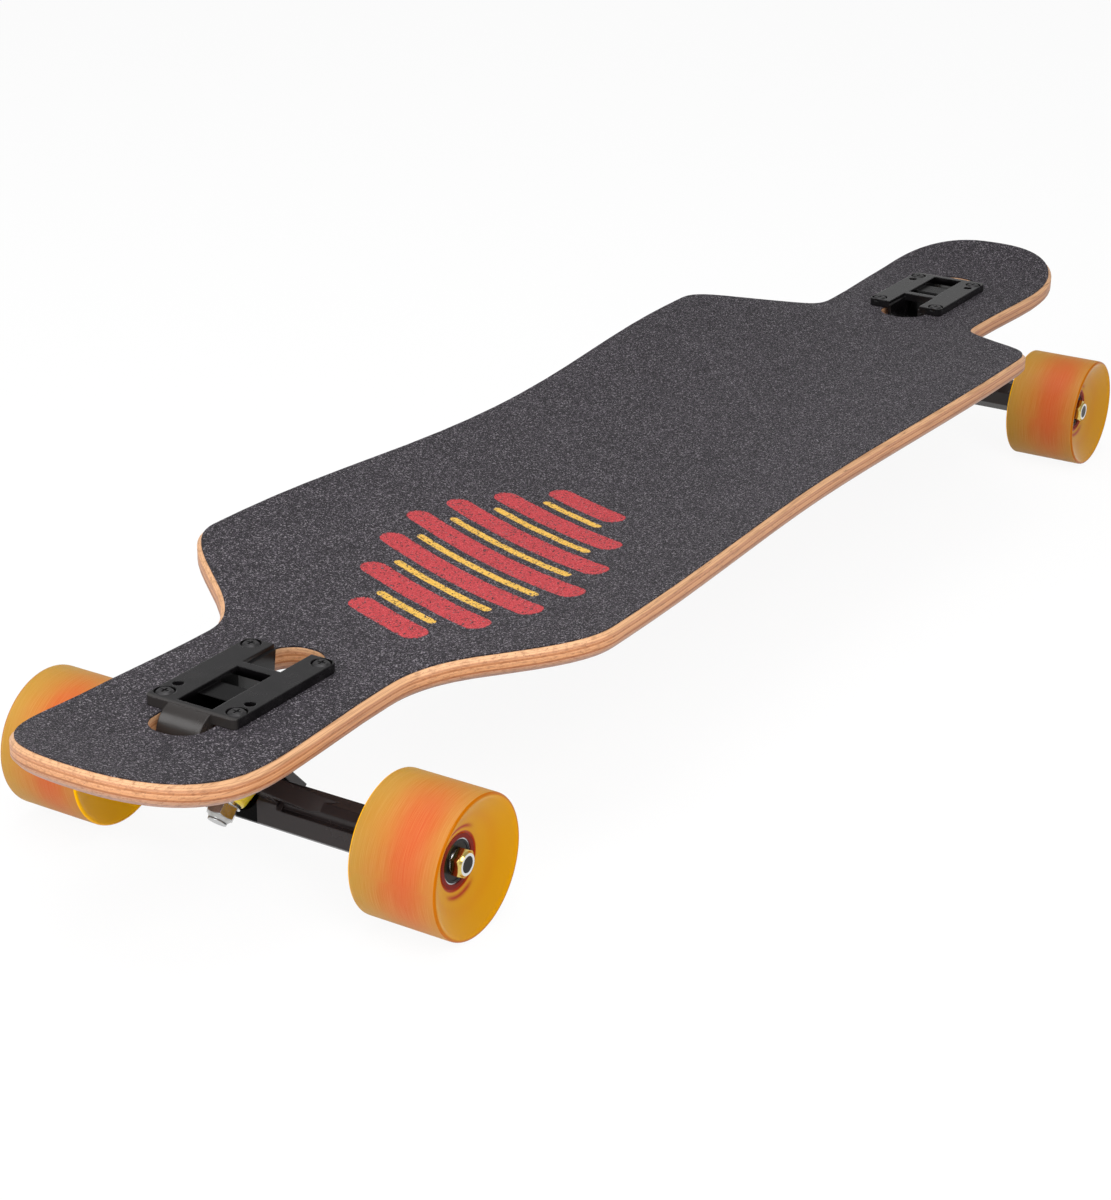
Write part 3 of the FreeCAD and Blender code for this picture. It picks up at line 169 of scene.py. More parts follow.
class Finish:
    """One material: every call adds a node and gives back its output socket."""

    def __init__(self, name, **constants):
        self.material = bpy.data.materials.new(name)
        self.material.use_nodes = True
        self.tree = self.material.node_tree
        self.shader = self.tree.nodes["Principled BSDF"]
        for label, value in constants.items():
            self.shader.inputs[label.replace("_", " ")].default_value = value

    def feed(self, socket, value):
        if isinstance(value, bpy.types.NodeSocket):
            self.tree.links.new(value, socket)
        else:
            socket.default_value = value

    def add(self, kind, *values, output=0, **settings):
        node = self.tree.nodes.new(f"ShaderNode{kind}")
        for label, value in settings.items():
            setattr(node, label, value)
        for socket, value in zip(node.inputs, values):
            self.feed(socket, value)
        return node.outputs[output]

    def sum(self, operation, *values, clamp=False):
        return self.add("Math", *values, operation=operation, use_clamp=clamp)

    def object_place(self):
        return self.tree.nodes.new("ShaderNodeTexCoord").outputs["Object"]

    def own_place(self):
        return self.add("Attribute", attribute_name="place", output=1)

    def length(self, first, second):
        squares = self.sum("ADD", self.sum("MULTIPLY", first, first), self.sum("MULTIPLY", second, second))
        return self.sum("SQRT", squares)

    def from_axle(self, place):
        """Distance from the axle's line, the same for all four wheels."""
        x, _, z = self.parts(place)
        forward = self.sum("SUBTRACT", self.sum("ABSOLUTE", x), AXLE[0])
        up = self.sum("SUBTRACT", z, AXLE[2])
        return self.length(forward, up)

    def bell(self, value, middle, width):
        """exp(-((value - middle) / width)^2): 1 at the middle, falling off on both sides."""
        off = self.sum("DIVIDE", self.sum("SUBTRACT", value, middle), width)
        return self.sum("EXPONENT", self.sum("MULTIPLY", self.sum("MULTIPLY", off, off), -1.0))

    def axial_normal(self, normal, share):
        """The normal turned towards the wheel's axle by a share."""
        own = self.tree.nodes.new("ShaderNodeTexCoord").outputs["Normal"]
        leftwards = self.sum("GREATER_THAN", self.parts(own)[1], 0.0)
        side = self.sum("MULTIPLY_ADD", leftwards, 2.0, -1.0)
        axis = self.add("VectorTransform", self.add("CombineXYZ", 0.0, side, 0.0), vector_type="NORMAL",
                        convert_from="OBJECT", convert_to="WORLD")
        node = self.tree.nodes.new("ShaderNodeMix")
        node.data_type = "VECTOR"
        self.feed(node.inputs[0], share)
        self.feed(node.inputs[4], normal)
        self.feed(node.inputs[5], axis)
        return self.add("VectorMath", node.outputs[1], operation="NORMALIZE")

    def parts(self, vector):
        node = self.tree.nodes.new("ShaderNodeSeparateXYZ")
        self.tree.links.new(vector, node.inputs[0])
        return node.outputs[0], node.outputs[1], node.outputs[2]

    def scaled(self, vector, scale):
        node = self.tree.nodes.new("ShaderNodeMapping")
        self.feed(node.inputs["Vector"], vector)
        node.inputs["Scale"].default_value = scale
        return node.outputs[0]

    def noise(self, vector, scale, detail=2.0, roughness=0.5):
        node = self.tree.nodes.new("ShaderNodeTexNoise")
        self.feed(node.inputs["Vector"], vector)
        node.inputs["Scale"].default_value = scale
        node.inputs["Detail"].default_value = detail
        node.inputs["Roughness"].default_value = roughness
        return node.outputs["Fac"]

    def grains(self, vector, scale):
        """Distance to the nearest grain's middle, and a random number for each grain."""
        node = self.tree.nodes.new("ShaderNodeTexVoronoi")
        self.feed(node.inputs["Vector"], vector)
        node.inputs["Scale"].default_value = scale
        spread = self.parts(node.outputs["Color"])
        return node.outputs["Distance"], spread[0]

    def ramp(self, factor, stops, steps=False):
        node = self.tree.nodes.new("ShaderNodeValToRGB")
        self.feed(node.inputs[0], factor)
        band = node.color_ramp
        band.interpolation = "CONSTANT" if steps else "LINEAR"
        while len(band.elements) < len(stops):
            band.elements.new(1.0)
        for element, (place, colour) in zip(band.elements, stops):
            element.position = place
            element.color = (*colour, 1)
        return node.outputs[0]

    def mix(self, factor, first, second, blend="MIX"):
        node = self.tree.nodes.new("ShaderNodeMix")
        node.data_type = "RGBA"
        node.blend_type = blend
        self.feed(node.inputs[0], factor)
        for socket, value in ((node.inputs[6], first), (node.inputs[7], second)):
            self.feed(socket, value if isinstance(value, bpy.types.NodeSocket) else (*value, 1))
        return node.outputs[2]

    def between(self, value, low, high):
        """0 below low, 1 above high, smooth between them."""
        node = self.tree.nodes.new("ShaderNodeMapRange")
        node.interpolation_type = "SMOOTHSTEP"
        self.feed(node.inputs[0], value)
        node.inputs[1].default_value = low
        node.inputs[2].default_value = high
        return node.outputs[0]

    def soft_corner(self, radius):
        node = self.tree.nodes.new("ShaderNodeBevel")
        node.samples = 4
        node.inputs["Radius"].default_value = radius
        return node.outputs[0]

    def bump(self, height, strength, distance, normal=None):
        node = self.tree.nodes.new("ShaderNodeBump")
        node.inputs["Strength"].default_value = strength
        node.inputs["Distance"].default_value = distance
        self.feed(node.inputs["Height"], height)
        if normal:
            self.feed(node.inputs["Normal"], normal)
        return node.outputs[0]

    def done(self, **sockets):
        for label, value in sockets.items():
            self.feed(self.shader.inputs[label.replace("_", " ")], value)
        return self.material


def sagging_step(f, part):
    """1 at part 0 down to 0 at part 1, as two parabolas: 1 - 2 p^2 up to the middle, then 2 (1 - p)^2."""
    part = f.sum("ADD", part, 0.0, clamp=True)
    near = f.sum("SUBTRACT", 1.0, f.sum("MULTIPLY", 2.0, f.sum("MULTIPLY", part, part)))
    rest = f.sum("SUBTRACT", 1.0, part)
    far = f.sum("MULTIPLY", 2.0, f.sum("MULTIPLY", rest, rest))
    first = f.sum("LESS_THAN", part, 0.5)
    return f.sum("ADD", f.sum("MULTIPLY", near, first),
                 f.sum("MULTIPLY", far, f.sum("SUBTRACT", 1.0, first)))


def depth_in_deck(f, place):
    """Depth below the pressed top of the wood, as a share of its thickness."""
    x, y, z = f.parts(place)
    reach = f.sum("ABSOLUTE", x)
    kick_share = DECK["kick"] / (DECK["half_length"] - DECK["kick_start"]) ** 2
    past = f.sum("MAXIMUM", f.sum("SUBTRACT", reach, DECK["kick_start"]), 0.0)
    lift = f.sum("MULTIPLY", f.sum("MULTIPLY", past, past), kick_share)
    rocker = sagging_step(f, f.sum("DIVIDE", reach, DECK["rocker"]))
    fade_length = DECK["fade_end"] - DECK["fade_start"]
    fade = f.sum("DIVIDE", f.sum("SUBTRACT", reach, DECK["fade_start"]), fade_length)
    bend = f.sum("MULTIPLY", sagging_step(f, fade), DECK["concave"] / DECK["half_shoulder"] ** 2)
    top = f.sum("ADD", lift, DECK["top"])
    top = f.sum("MULTIPLY_ADD", rocker, -DECK["rocker_drop"], top)
    top = f.sum("MULTIPLY_ADD", bend, f.sum("MULTIPLY", y, y), top)
    return f.sum("DIVIDE", f.sum("SUBTRACT", top, z), DECK["thickness"])


def maple_plies():
    """Pressed plies: a colour for each ply by depth, thin glue lines between them, grain along or across."""
    f = Finish("maple_plies", Specular_IOR_Level=0.35)
    place = f.object_place()
    depth = depth_in_deck(f, place)
    wobble = f.noise(f.scaled(place, (14, 14, 60)), 1.0, 2)
    wavy = f.sum("MULTIPLY_ADD", f.sum("SUBTRACT", wobble, 0.5), 0.03, depth)
    plies = f.ramp(wavy, [
        (0.0, (0.62, 0.350, 0.185)), (0.19, (0.53, 0.255, 0.130)), (0.32, (0.44, 0.180, 0.072)),
        (0.41, (0.58, 0.290, 0.140)), (0.52, (0.54, 0.255, 0.115)), (0.62, (0.32, 0.120, 0.048)),
        (0.70, (0.42, 0.225, 0.135)), (0.85, (0.36, 0.205, 0.150)),
    ], steps=True)
    along = f.noise(f.scaled(place, (18, 420, 900)), 1.0, 4, 0.62)
    across = f.noise(f.scaled(place, (520, 18, 900)), 1.0, 4, 0.62)
    cross_ply = f.ramp(wavy, [(0.0, (0, 0, 0)), (0.32, (1, 1, 1)), (0.41, (0, 0, 0)), (0.62, (1, 1, 1)),
                              (0.70, (0, 0, 0))], steps=True)
    figure = f.mix(cross_ply, along, across)
    grain = f.ramp(figure, [(0.30, (0.56, 0.48, 0.42)), (0.52, (1, 1, 1))])
    colour = f.mix(0.9, plies, grain, "MULTIPLY")
    pores = f.noise(f.scaled(place, (60, 1500, 1500)), 1.0, 3, 0.6)
    colour = f.mix(f.between(pores, 0.60, 0.72), colour, (0.24, 0.115, 0.055))
    line = f.sum("PINGPONG", f.sum("MULTIPLY", wavy, 8.0), 0.5)
    glue = f.sum("SUBTRACT", 1.0, f.between(line, 0.0, 0.10))
    colour = f.mix(f.sum("MULTIPLY", glue, 0.55), colour, (0.20, 0.085, 0.035))
    rough = f.sum("MULTIPLY_ADD", figure, 0.22, 0.36)
    normal = f.bump(figure, 0.18, 0.0003, f.soft_corner(0.0016))
    return f.done(Base_Color=colour, Roughness=rough, Normal=normal)


def bar(f, x, y, middle, turn, length, width):
    """1 inside a bar with round ends: distance from a line of that length, against half the width."""
    cosine, sine = math.cos(turn), math.sin(turn)
    x = f.sum("SUBTRACT", x, middle[0])
    y = f.sum("SUBTRACT", y, middle[1])
    run = f.sum("ADD", f.sum("MULTIPLY", x, cosine), f.sum("MULTIPLY", y, sine))
    off = f.sum("SUBTRACT", f.sum("MULTIPLY", y, cosine), f.sum("MULTIPLY", x, sine))
    past = f.sum("MAXIMUM", f.sum("SUBTRACT", f.sum("ABSOLUTE", run), length / 2 - width / 2), 0.0)
    return f.sum("LESS_THAN", f.length(past, off), width / 2)


def printed(f, place, bars, ragged):
    """Union of bars, their edges broken by the grit."""
    x, y, _ = f.parts(place)
    x = f.sum("ADD", x, ragged)
    y = f.sum("ADD", y, ragged)
    total = None
    for middle, turn, length, width in bars:
        inside = bar(f, x, y, middle, turn, length, width)
        total = inside if total is None else f.sum("MAXIMUM", total, inside)
    return total


def stripe_row(lengths, width):
    """Slanted bars with round ends, a step apart, in a row about the middle of the print."""
    first = -PRINT_STEP * (len(lengths) - 1) / 2
    bars = []
    for number, length in enumerate(lengths):
        middle = (PRINT_MIDDLE[0] + first + PRINT_STEP * number, PRINT_MIDDLE[1])
        bars.append((middle, PRINT_TURN, length, width))
    return bars


def abrasive_grip():
    """Charcoal grit: fine and coarse grains, each with its own tone, a few with painted glints, and printed
    bars.
    """
    f = Finish("abrasive_grip", Specular_IOR_Level=0.4)
    place = f.object_place()
    fine_gap, fine = f.grains(place, 2600)
    _, coarse = f.grains(place, 1250)
    shade = f.sum("MULTIPLY_ADD", coarse, 0.35, f.sum("MULTIPLY", fine, 0.65))
    cloud = f.noise(place, 16, 3)
    shade = f.sum("MULTIPLY_ADD", f.sum("SUBTRACT", cloud, 0.5), 0.12, shade)
    _, stray_and_glint = f.grains(place, 1500)
    grit = f.ramp(shade, [(0.0, (0.002, 0.0018, 0.0023)), (0.45, (0.0136, 0.0108, 0.0148)),
                          (0.74, (0.036, 0.0292, 0.039)), (0.90, (0.15, 0.128, 0.154))])
    grit = f.mix(f.between(stray_and_glint, 0.0, 0.40), (0.006, 0.005, 0.007), grit)
    # Painted glints: the brightest stray grains turn pale grey
    grit = f.mix(f.sum("MULTIPLY", f.between(stray_and_glint, 0.86, 0.98), 0.8), grit, (0.25, 0.23, 0.25))
    ragged = f.sum("MULTIPLY_ADD", fine, 0.0012, -0.0006)
    worn = f.between(coarse, 0.03, 0.20)
    inked = f.sum("MULTIPLY", printed(f, place, stripe_row(RED_BARS, RED_WIDTH), ragged), worn)
    tint = f.mix(shade, (0.27, 0.014, 0.020), (0.60, 0.060, 0.070))
    colour = f.mix(inked, grit, tint)
    inked = f.sum("MULTIPLY", printed(f, place, stripe_row(YELLOW_BARS, YELLOW_WIDTH), ragged), worn)
    tint = f.mix(shade, (0.50, 0.27, 0.03), (0.88, 0.54, 0.10))
    colour = f.mix(inked, colour, tint)
    rough = f.ramp(fine, [(stop, (value,) * 3) for stop, value in ((0.0, 0.85), (0.86, 0.72), (0.95, 0.32))])
    height = f.sum("MULTIPLY_ADD", fine_gap, -0.6, f.sum("MULTIPLY", coarse, 0.7))
    return f.done(Base_Color=colour, Roughness=rough, Normal=f.bump(height, 0.75, 0.0004))


def black_casting():
    """Black paint on a casting: slight orange peel and softened corners. Painted floor reflection, lighter
    and browner, low on the hanger; a painted grey sheen on the tongue; and painted shade, near black, in
    the baseplate's pocket and below it."""
    f = Finish("black_casting")
    place = f.object_place()
    x, y, z = f.parts(place)
    reach = f.sum("ABSOLUTE", x)
    peel = f.noise(place, 900, 3)
    patch = f.noise(place, 70, 4, 0.6)
    colour = f.mix(f.between(patch, 0.35, 0.80), (0.0030, 0.0026, 0.0030), (0.0080, 0.0070, 0.0078))
    # Painted floor reflection: lighter and browner below the hanger's top
    floor_sheen_low = f.sum("SUBTRACT", 1.0, f.between(z, *HANGER_TOP))
    colour = f.mix(floor_sheen_low, colour, (0.017, 0.0125, 0.0125))
    # Painted shade: near black with little shine inside the baseplate's pocket and below its rim
    along = f.sum("ABSOLUTE", f.sum("SUBTRACT", reach, POCKET["middle"]))
    inside = f.sum("MULTIPLY", f.sum("LESS_THAN", along, POCKET["half_length"]),
                   f.sum("LESS_THAN", f.sum("ABSOLUTE", y), POCKET["half_width"]))
    inside = f.sum("MULTIPLY", inside, f.sum("SUBTRACT", 1.0, f.between(z, *POCKET["rim"])))
    colour = f.mix(inside, colour, (0.0010, 0.0009, 0.0010))
    # Painted sheen: lighter grey on the tongue
    tip = f.sum("MULTIPLY", f.between(reach, *TONGUE["start"]), f.between(z, *TONGUE["foot"]))
    colour = f.mix(tip, colour, (0.026, 0.023, 0.022))
    rough = f.sum("MULTIPLY_ADD", patch, 0.20, 0.15)
    shine = f.sum("MULTIPLY_ADD", inside, -0.26, 0.30)
    normal = f.bump(peel, 0.10, 0.0003, f.soft_corner(0.0009))
    return f.done(Base_Color=colour, Roughness=rough, Specular_IOR_Level=shine, Normal=normal)


def plated_steel(name, colour, rough, tint):
    """Bright plated steel with faint turning marks and a cloudy tint."""
    f = Finish(name, Metallic=1.0)
    place = f.object_place()
    cloud = f.noise(place, 160, 3, 0.6)
    marks = f.noise(f.scaled(place, (300, 2600, 300)), 1.0, 2)
    shade = f.mix(f.between(cloud, 0.35, 0.75), colour, tint)
    roughness = f.sum("MULTIPLY_ADD", marks, 0.16, rough)
    normal = f.bump(marks, 0.08, 0.0002, f.soft_corner(0.0004))
    return f.done(Base_Color=shade, Roughness=roughness, Normal=normal)


def threaded_steel(name, colour, along, pitch, dark_end=None):
    """Steel rod with a fine thread: a wave along the rod as bump, painted shade in the roots, and dark on its
    end faces.
    """
    f = Finish(name, Metallic=1.0)
    place = f.object_place()
    distance = f.add("VectorMath", place, along, operation="DOT_PRODUCT", output=1)
    wave = f.sum("PINGPONG", f.sum("DIVIDE", distance, pitch), 0.5)
    stain = f.noise(place, 220, 3)
    # Painted shade: the colour darkens in the thread's roots, along the same wave as the bump
    dark = tuple(0.35 * value for value in colour)
    shade = f.mix(f.sum("MULTIPLY", wave, 2.0), dark, colour)
    rough = f.sum("MULTIPLY_ADD", stain, 0.25, 0.22)
    if dark_end:
        end = f.sum("GREATER_THAN", f.sum("ABSOLUTE", distance), dark_end)
        shade = f.mix(end, shade, (0.012, 0.012, 0.013))
    return f.done(Base_Color=shade, Roughness=rough, Normal=f.bump(wave, 0.9, 0.0005))


def black_oxide():
    """Blackened bolts with faint clouds."""
    f = Finish("black_oxide", Metallic=0.75)
    place = f.object_place()
    cloud = f.noise(place, 400, 3)
    colour = f.mix(cloud, (0.018, 0.017, 0.018), (0.06, 0.058, 0.06))
    rough = f.sum("MULTIPLY_ADD", cloud, 0.25, 0.28)
    normal = f.bump(cloud, 0.1, 0.0002, f.soft_corner(0.0005))
    return f.done(Base_Color=colour, Roughness=rough, Normal=normal)


def moulded_plastic(name, colour, rough, shine=0.5):
    """Moulded plastic or rubber, its colour varied by a fifth each way."""
    f = Finish(name, Specular_IOR_Level=shine)
    place = f.object_place()
    cloud = f.noise(place, 500, 3)
    shade = f.mix(cloud, tuple(0.8 * value for value in colour), tuple(1.2 * value for value in colour))
    roughness = f.sum("MULTIPLY_ADD", cloud, 0.15, rough)
    normal = f.bump(cloud, 0.08, 0.0002, f.soft_corner(0.0004))
    return f.done(Base_Color=shade, Roughness=roughness, Normal=normal)


def ground_tread(f, outline, radius, across):
    """Amber with a red glow, a bell curve across the tread: the red core seen through, made stronger where
    the tread leans to the front as painted light.
    """
    haze = f.noise(f.scaled(outline, (20, 90, 1.2)), 1.0, 3)
    off = f.sum("MULTIPLY_ADD", f.sum("SUBTRACT", haze, 0.5), 0.009, across)
    glow = f.bell(off, *TYRE["glow"])
    # Painted light: the glow is stronger on the side of the tread that leans to the front
    x, _, z = f.parts(f.object_place())
    forward = f.sum("MULTIPLY_ADD", f.sum("SIGN", x), -AXLE[0], x)
    up = f.sum("SUBTRACT", z, AXLE[2])
    lean = f.sum("MULTIPLY_ADD", forward, math.cos(PAINTED_GLOW_TURN), f.sum("MULTIPLY", up, math.sin(PAINTED_GLOW_TURN)))
    painted_glow_side = f.between(f.sum("DIVIDE", lean, radius), 0.0, 0.96)
    glow = f.sum("MULTIPLY", glow, f.sum("MULTIPLY_ADD", painted_glow_side, 0.72, 0.28))
    ground = f.mix(glow, (0.378, 0.203, 0.018), (0.462, 0.068, 0.007))
    streak = f.noise(f.scaled(outline, (30, 4200, 1.6)), 1.0, 3, 0.6)
    pale = f.mix(0.22, ground, (0.66, 0.41, 0.16))
    return f.mix(f.between(streak, 0.35, 0.75), ground, pale)


def tyre_face(f, radius, angle):
    """Amber, dark red at the hub: the red core seen through, darkened as painted shade. Dark red on an arc
    at each side of it and at the rim, a painted refraction of the core, and faintly on a ring. The face that
    turns to the truck is a lighter yellow, a painted glow of light passing through it."""
    # Hub: the red core seen through, with painted shade
    hub = f.sum("SUBTRACT", 1.0, f.between(radius, *TYRE["hub"]))
    colour = f.mix(hub, (0.51, 0.224, 0.0), (0.30, 0.014, 0.0))
    # Painted refraction: dark red crescents of the core, at the top and bottom of the face
    upright = f.between(f.sum("ABSOLUTE", f.sum("SINE", angle)), 0.70, 0.98)
    arc = f.sum("MULTIPLY", f.bell(radius, *TYRE["arc"]), upright)
    colour = f.mix(f.sum("MULTIPLY", arc, 0.95), colour, (0.30, 0.010, 0.0))
    ring = f.bell(radius, *TYRE["ring"])
    colour = f.mix(f.sum("MULTIPLY", ring, 0.12), colour, (0.46, 0.060, 0.004))
    # Painted refraction: dark red band of the core at the rim
    rim = f.between(radius, *TYRE["rim"])
    colour = f.mix(f.sum("MULTIPLY", rim, 0.60), colour, (0.30, 0.020, 0.0))
    # Painted glow: the face turned to the truck is a lighter yellow, as if light passes through it
    sideways = f.sum("ABSOLUTE", f.parts(f.object_place())[1])
    inner = f.sum("LESS_THAN", sideways, AXLE[1] - TYRE["inner_face"])
    return f.mix(f.sum("MULTIPLY", inner, 0.95), colour, (1.0, 0.50, 0.0))


def amber_urethane():
    """Amber tyre: matt ground tread, and smoother dished faces with normals turned partly to the axle."""
    f = Finish("amber_urethane", Subsurface_Scale=0.006, Subsurface_Radius=(1.0, 0.35, 0.08))
    outline = f.own_place()
    radius, across, angle = f.parts(outline)
    tread = f.between(radius, *TYRE["tread"])
    colour = f.mix(tread, tyre_face(f, radius, angle), ground_tread(f, outline, radius, across))
    rough = f.sum("MULTIPLY_ADD", tread, 0.42, 0.10)
    shine = f.sum("MULTIPLY_ADD", tread, 0.10, 0.14)
    warm = f.mix(tread, (1.0, 0.72, 0.18), (1.0, 1.0, 1.0))
    depth = f.sum("MULTIPLY", tread, 0.2)
    lines = f.noise(f.scaled(outline, (30, 5200, 3.0)), 1.0, 2)
    height = f.sum("MULTIPLY", lines, tread)
    dish = f.sum("MULTIPLY_ADD", f.between(radius, *TYRE["dish_end"]), -0.6, 0.6)
    flat = f.sum("MULTIPLY", f.sum("SUBTRACT", 1.0, tread), dish)
    normal = f.axial_normal(f.bump(height, 0.28, 0.0003), flat)
    return f.done(Base_Color=colour, Roughness=rough, Specular_IOR_Level=shine, Specular_Tint=warm,
                  Subsurface_Weight=depth, Normal=normal)


def bearing_face():
    """Outer ring: ground steel at its rim, painted shade near black inside the shield's seat."""
    f = Finish("bearing_face", Metallic=1.0, Roughness=0.22)
    place = f.object_place()
    # Painted shade: the ring turns near black inside BEARING_RIM, in the shield's seat
    bright = f.between(f.from_axle(place), *BEARING_RIM)
    grind = f.noise(place, 900, 2)
    steel = f.mix(grind, (0.50, 0.50, 0.52), (0.66, 0.66, 0.68))
    return f.done(Base_Color=f.mix(bright, (0.010, 0.010, 0.011), steel))


def nut_plating():
    """Yellow plating on the hexagon, bright steel on the collar past it."""
    f = Finish("nut_plating", Metallic=1.0)
    place = f.object_place()
    cloud = f.noise(place, 260, 3, 0.6)
    yellow = f.mix(cloud, (0.74, 0.58, 0.20), (0.58, 0.42, 0.10))
    past = f.between(f.sum("ABSOLUTE", f.parts(place)[1]), *NUT_COLLAR["start"])
    past = f.sum("MULTIPLY", past, f.sum("LESS_THAN", f.from_axle(place), NUT_COLLAR["radius"]))
    rough = f.sum("MULTIPLY_ADD", cloud, 0.14, 0.10)
    shade = f.mix(past, yellow, (0.66, 0.67, 0.68))
    return f.done(Base_Color=shade, Roughness=rough, Normal=f.soft_corner(0.0004))


def yellow_urethane():
    """Bushings: soft yellow that lets some light in."""
    f = Finish("yellow_urethane", Subsurface_Weight=0.35, Subsurface_Scale=0.004,
               Subsurface_Radius=(1.0, 0.7, 0.1))
    cloud = f.noise(f.own_place(), 400, 2)
    colour = f.mix(cloud, (0.66, 0.46, 0.020), (0.80, 0.62, 0.050))
    rough = f.sum("MULTIPLY_ADD", cloud, 0.12, 0.24)
    return f.done(Base_Color=colour, Roughness=rough, Normal=f.bump(cloud, 0.06, 0.0003))


def bushing_form(name, size, ring, slant, pivot, finish):
    """Bushing turned about the kingpin: the wall's radius runs in a straight line from the seat to the
    washer, less a lip that falls off as exp(-LIP_FALL * p) from both ends."""
    seat, washer, tip = size
    height = np.linspace(seat, washer, BUSHING_ROWS)
    part = (height - seat) / (washer - seat)
    radius = BUSHING_RADIUS + (tip - BUSHING_RADIUS) * part
    radius = radius - BUSHING_LIP * np.exp(-LIP_FALL * np.minimum(part, 1 - part))
    wall = np.stack([radius, height], axis=1)
    bore = np.stack([np.full(BUSHING_ROWS, BUSHING_BORE), height[::-1]], axis=1)
    points, places = turned(np.concatenate([wall, bore]), ring, slant, pivot, BUSHING_TURNS)
    return grid_mesh(name, points, finish, places)


def tyre_form(name, centre, mirror, finish):
    """Tyre turned about the axle: face, tread, the face's mirror image and the seat on the core."""
    outer = np.array(FACE)
    edge = outer[-1]
    tread = spaced([edge, edge * (1, -1)], TREAD_STEP)[1:-1]
    inner = outer[::-1] * (1, -1)
    profile = np.concatenate([outer, tread, inner, np.array(SEAT)]) / MILLIMETRES
    points, places = turned(profile, centre, (0, mirror, 0), (1, 0, 0), TYRE_TURNS)
    places[..., 1] *= mirror
    return grid_mesh(name, points, finish, places)


def wear(node, finish):
    """Gives a CAD node its finish."""
    mesh = nodes[node].data
    mesh.materials.clear()
    mesh.materials.append(finish)


# Deck and grip
wear("deck", maple_plies())
wear("grip_tape", abrasive_grip())

# Trucks
casting = black_casting()
zinc = plated_steel("bright_zinc", (0.66, 0.66, 0.65), 0.16, (0.52, 0.50, 0.44))
dull_zinc = plated_steel("dull_zinc", (0.50, 0.50, 0.50), 0.10, (0.36, 0.35, 0.33))
plated_nut = nut_plating()
oxide = black_oxide()
black_moulding = moulded_plastic("black_moulding", (0.022, 0.022, 0.023), 0.45)
amber = amber_urethane()
bushing_finish = yellow_urethane()
red_core = moulded_plastic("red_core", (0.15, 0.005, 0.002), 0.34, shine=0.12)
bearing_steel = plated_steel("bearing_steel", (0.70, 0.70, 0.72), 0.12, (0.60, 0.60, 0.62))
shield = moulded_plastic("black_shield", (0.005, 0.005, 0.005), 0.38, shine=0.30)
axle_thread = threaded_steel("axle_thread", (0.30, 0.30, 0.31), (0, 1, 0), 0.0010, dark_end=AXLE_TIP)
ring_face = bearing_face()
for end, sign in ENDS.items():
    slant = (-sign * math.sin(PIVOT_TURN), 0, math.cos(PIVOT_TURN))
    pivot = (sign * math.cos(PIVOT_TURN), 0, math.sin(PIVOT_TURN))
    ring = np.array([sign * RING[0], 0, RING[1]])
    for piece in ("baseplate", "hanger"):
        wear(f"{end}_{piece}", casting)
    for piece in ("deck_nuts", "bushing_washers", "speed_rings"):
        wear(f"{end}_{piece}", zinc)
    wear(f"{end}_kingpin_nut", dull_zinc)
    wear(f"{end}_axle_nuts", plated_nut)
    wear(f"{end}_deck_bolts", oxide)
    wear(f"{end}_pivot_cup", black_moulding)
    wear(f"{end}_kingpin", threaded_steel(f"{end}_kingpin_thread", (0.62, 0.62, 0.62), slant, 0.0012))
    wear(f"{end}_axle", axle_thread)
    for which, size in BUSHINGS.items():
        bushing = bushing_form(f"{end}_{which}_bushing_form", size, ring, slant, pivot, bushing_finish)
        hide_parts(f"{end}_{which}_bushing")
        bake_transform(bushing)

# Wheels
for end, sign in ENDS.items():
    for side, mirror in SIDES.items():
        corner = f"{end}_{side}"
        centre = (sign * AXLE[0], mirror * AXLE[1], AXLE[2])
        tyre = tyre_form(f"{corner}_tyre_form", centre, mirror, amber)
        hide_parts(f"{corner}_tyre")
        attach(tyre, f"{corner}_wheel")
        wear(f"{corner}_core", red_core)
        wear(f"{corner}_bearing_shields", shield)
        wear(f"{corner}_bearing_cages", black_moulding)
        wear(f"{corner}_bearing_outer_rings", ring_face)
        for piece in ("bearing_inner_rings", "bearing_balls", "bearing_spacer"):
            wear(f"{corner}_{piece}", bearing_steel)


# Stage, light and camera


def pale_floor():
    """White floor: lit and shadowed as usual, with a share of plain white for what the camera sees."""
    f = Finish("pale_floor", Base_Color=(0.88, 0.88, 0.88, 1), Roughness=0.9, Specular_IOR_Level=0.1)
    ray = f.tree.nodes.new("ShaderNodeLightPath")
    seen = f.sum("ADD", ray.outputs["Is Camera Ray"], ray.outputs["Is Glossy Ray"], clamp=True)
    seen = f.sum("ADD", seen, ray.outputs["Is Transmission Ray"], clamp=True)
    glow = f.tree.nodes.new("ShaderNodeEmission")
    glow.inputs["Color"].default_value = (1, 1, 1, 1)
    blend = f.tree.nodes.new("ShaderNodeMixShader")
    f.feed(blend.inputs[0], f.sum("MULTIPLY", seen, FLOOR_WHITE))
    f.tree.links.new(f.shader.outputs[0], blend.inputs[1])
    f.tree.links.new(glow.outputs[0], blend.inputs[2])
    f.tree.links.new(blend.outputs[0], f.tree.nodes["Material Output"].inputs["Surface"])
    return f.material


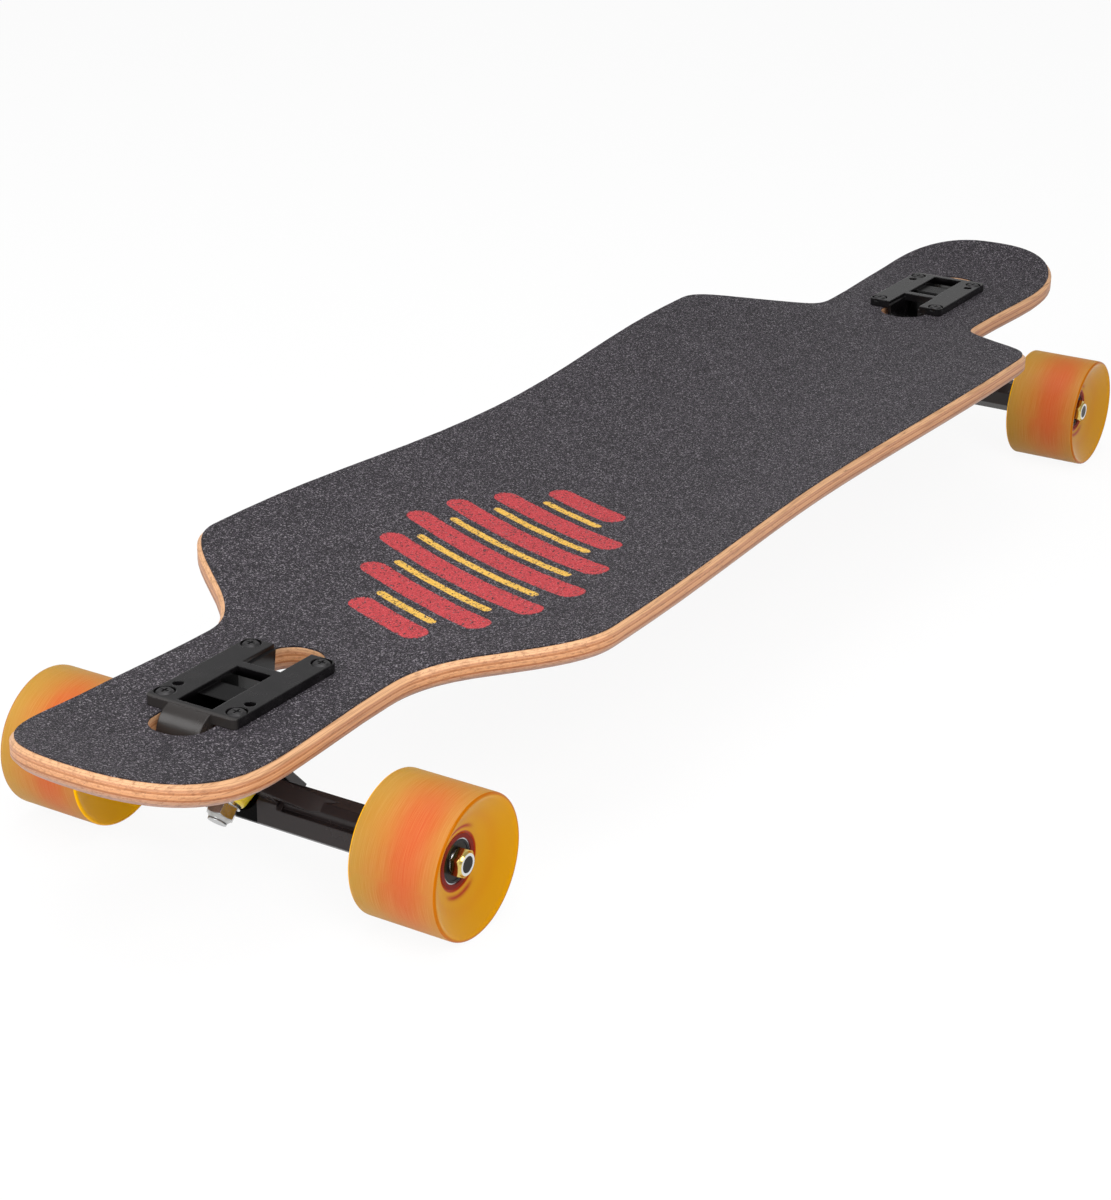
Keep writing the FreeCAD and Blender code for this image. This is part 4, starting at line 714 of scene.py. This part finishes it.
def lay_floor():
    """Level square at the road's height."""
    signs = [(-1, -1), (1, -1), (1, 1), (-1, 1)]
    mesh = bpy.data.meshes.new("floor")
    mesh.from_pydata([(x * FLOOR_HALF, y * FLOOR_HALF, 0) for x, y in signs], [], [(0, 1, 2, 3)])
    mesh.materials.append(pale_floor())
    floor = bpy.data.objects.new("floor", mesh)
    bpy.context.scene.collection.objects.link(floor)


def raise_sky():
    """White all round, bright at the horizon and dimmer overhead."""
    world = bpy.data.worlds.new("studio")
    world.use_nodes = True
    tree = world.node_tree
    sky = tree.nodes["Background"]
    level = tree.nodes.new("ShaderNodeMapRange")
    level.interpolation_type = "SMOOTHSTEP"
    for ends, label in ((SKY_FADE, "From"), (SKY_LEVEL, "To")):
        level.inputs[f"{label} Min"].default_value = ends[0]
        level.inputs[f"{label} Max"].default_value = ends[1]
    heading = tree.nodes.new("ShaderNodeSeparateXYZ")
    tree.links.new(tree.nodes.new("ShaderNodeTexCoord").outputs["Generated"], heading.inputs[0])
    tree.links.new(heading.outputs["Z"], level.inputs["Value"])
    tree.links.new(level.outputs["Result"], sky.inputs["Strength"])
    sky.inputs["Color"].default_value = (1, 1, 1, 1)
    bpy.context.scene.world = world


def lamp(name, place, target, size, watts):
    """Rectangular lamp at a place, facing its target."""
    light = bpy.data.lights.new(name, "AREA")
    light.shape = "RECTANGLE"
    light.size, light.size_y = size
    light.energy = watts
    item = bpy.data.objects.new(name, light)
    item.location = place
    aim = np.array(target) - np.array(place)
    tilt = math.atan2(math.hypot(aim[0], aim[1]), -aim[2])
    item.rotation_euler = (tilt, 0, math.atan2(aim[0], -aim[1]) + math.pi)
    bpy.context.scene.collection.objects.link(item)


lay_floor()
raise_sky()
for name, light in LAMPS.items():
    lamp(name, **light)

camera = bpy.data.cameras.new("photo_camera")
camera.sensor_fit = "VERTICAL"
camera.sensor_height = SENSOR
camera.lens = SENSOR * FOCAL_PIXELS / PICTURE_HEIGHT
camera.clip_end = CLIP_END
viewer = bpy.data.objects.new("photo_camera", camera)
viewer.location = CAMERA_PLACE
viewer.rotation_euler = CAMERA_TURN
bpy.context.scene.collection.objects.link(viewer)
bpy.context.scene.camera = viewer
bpy.context.scene.view_settings.view_transform = "Standard"
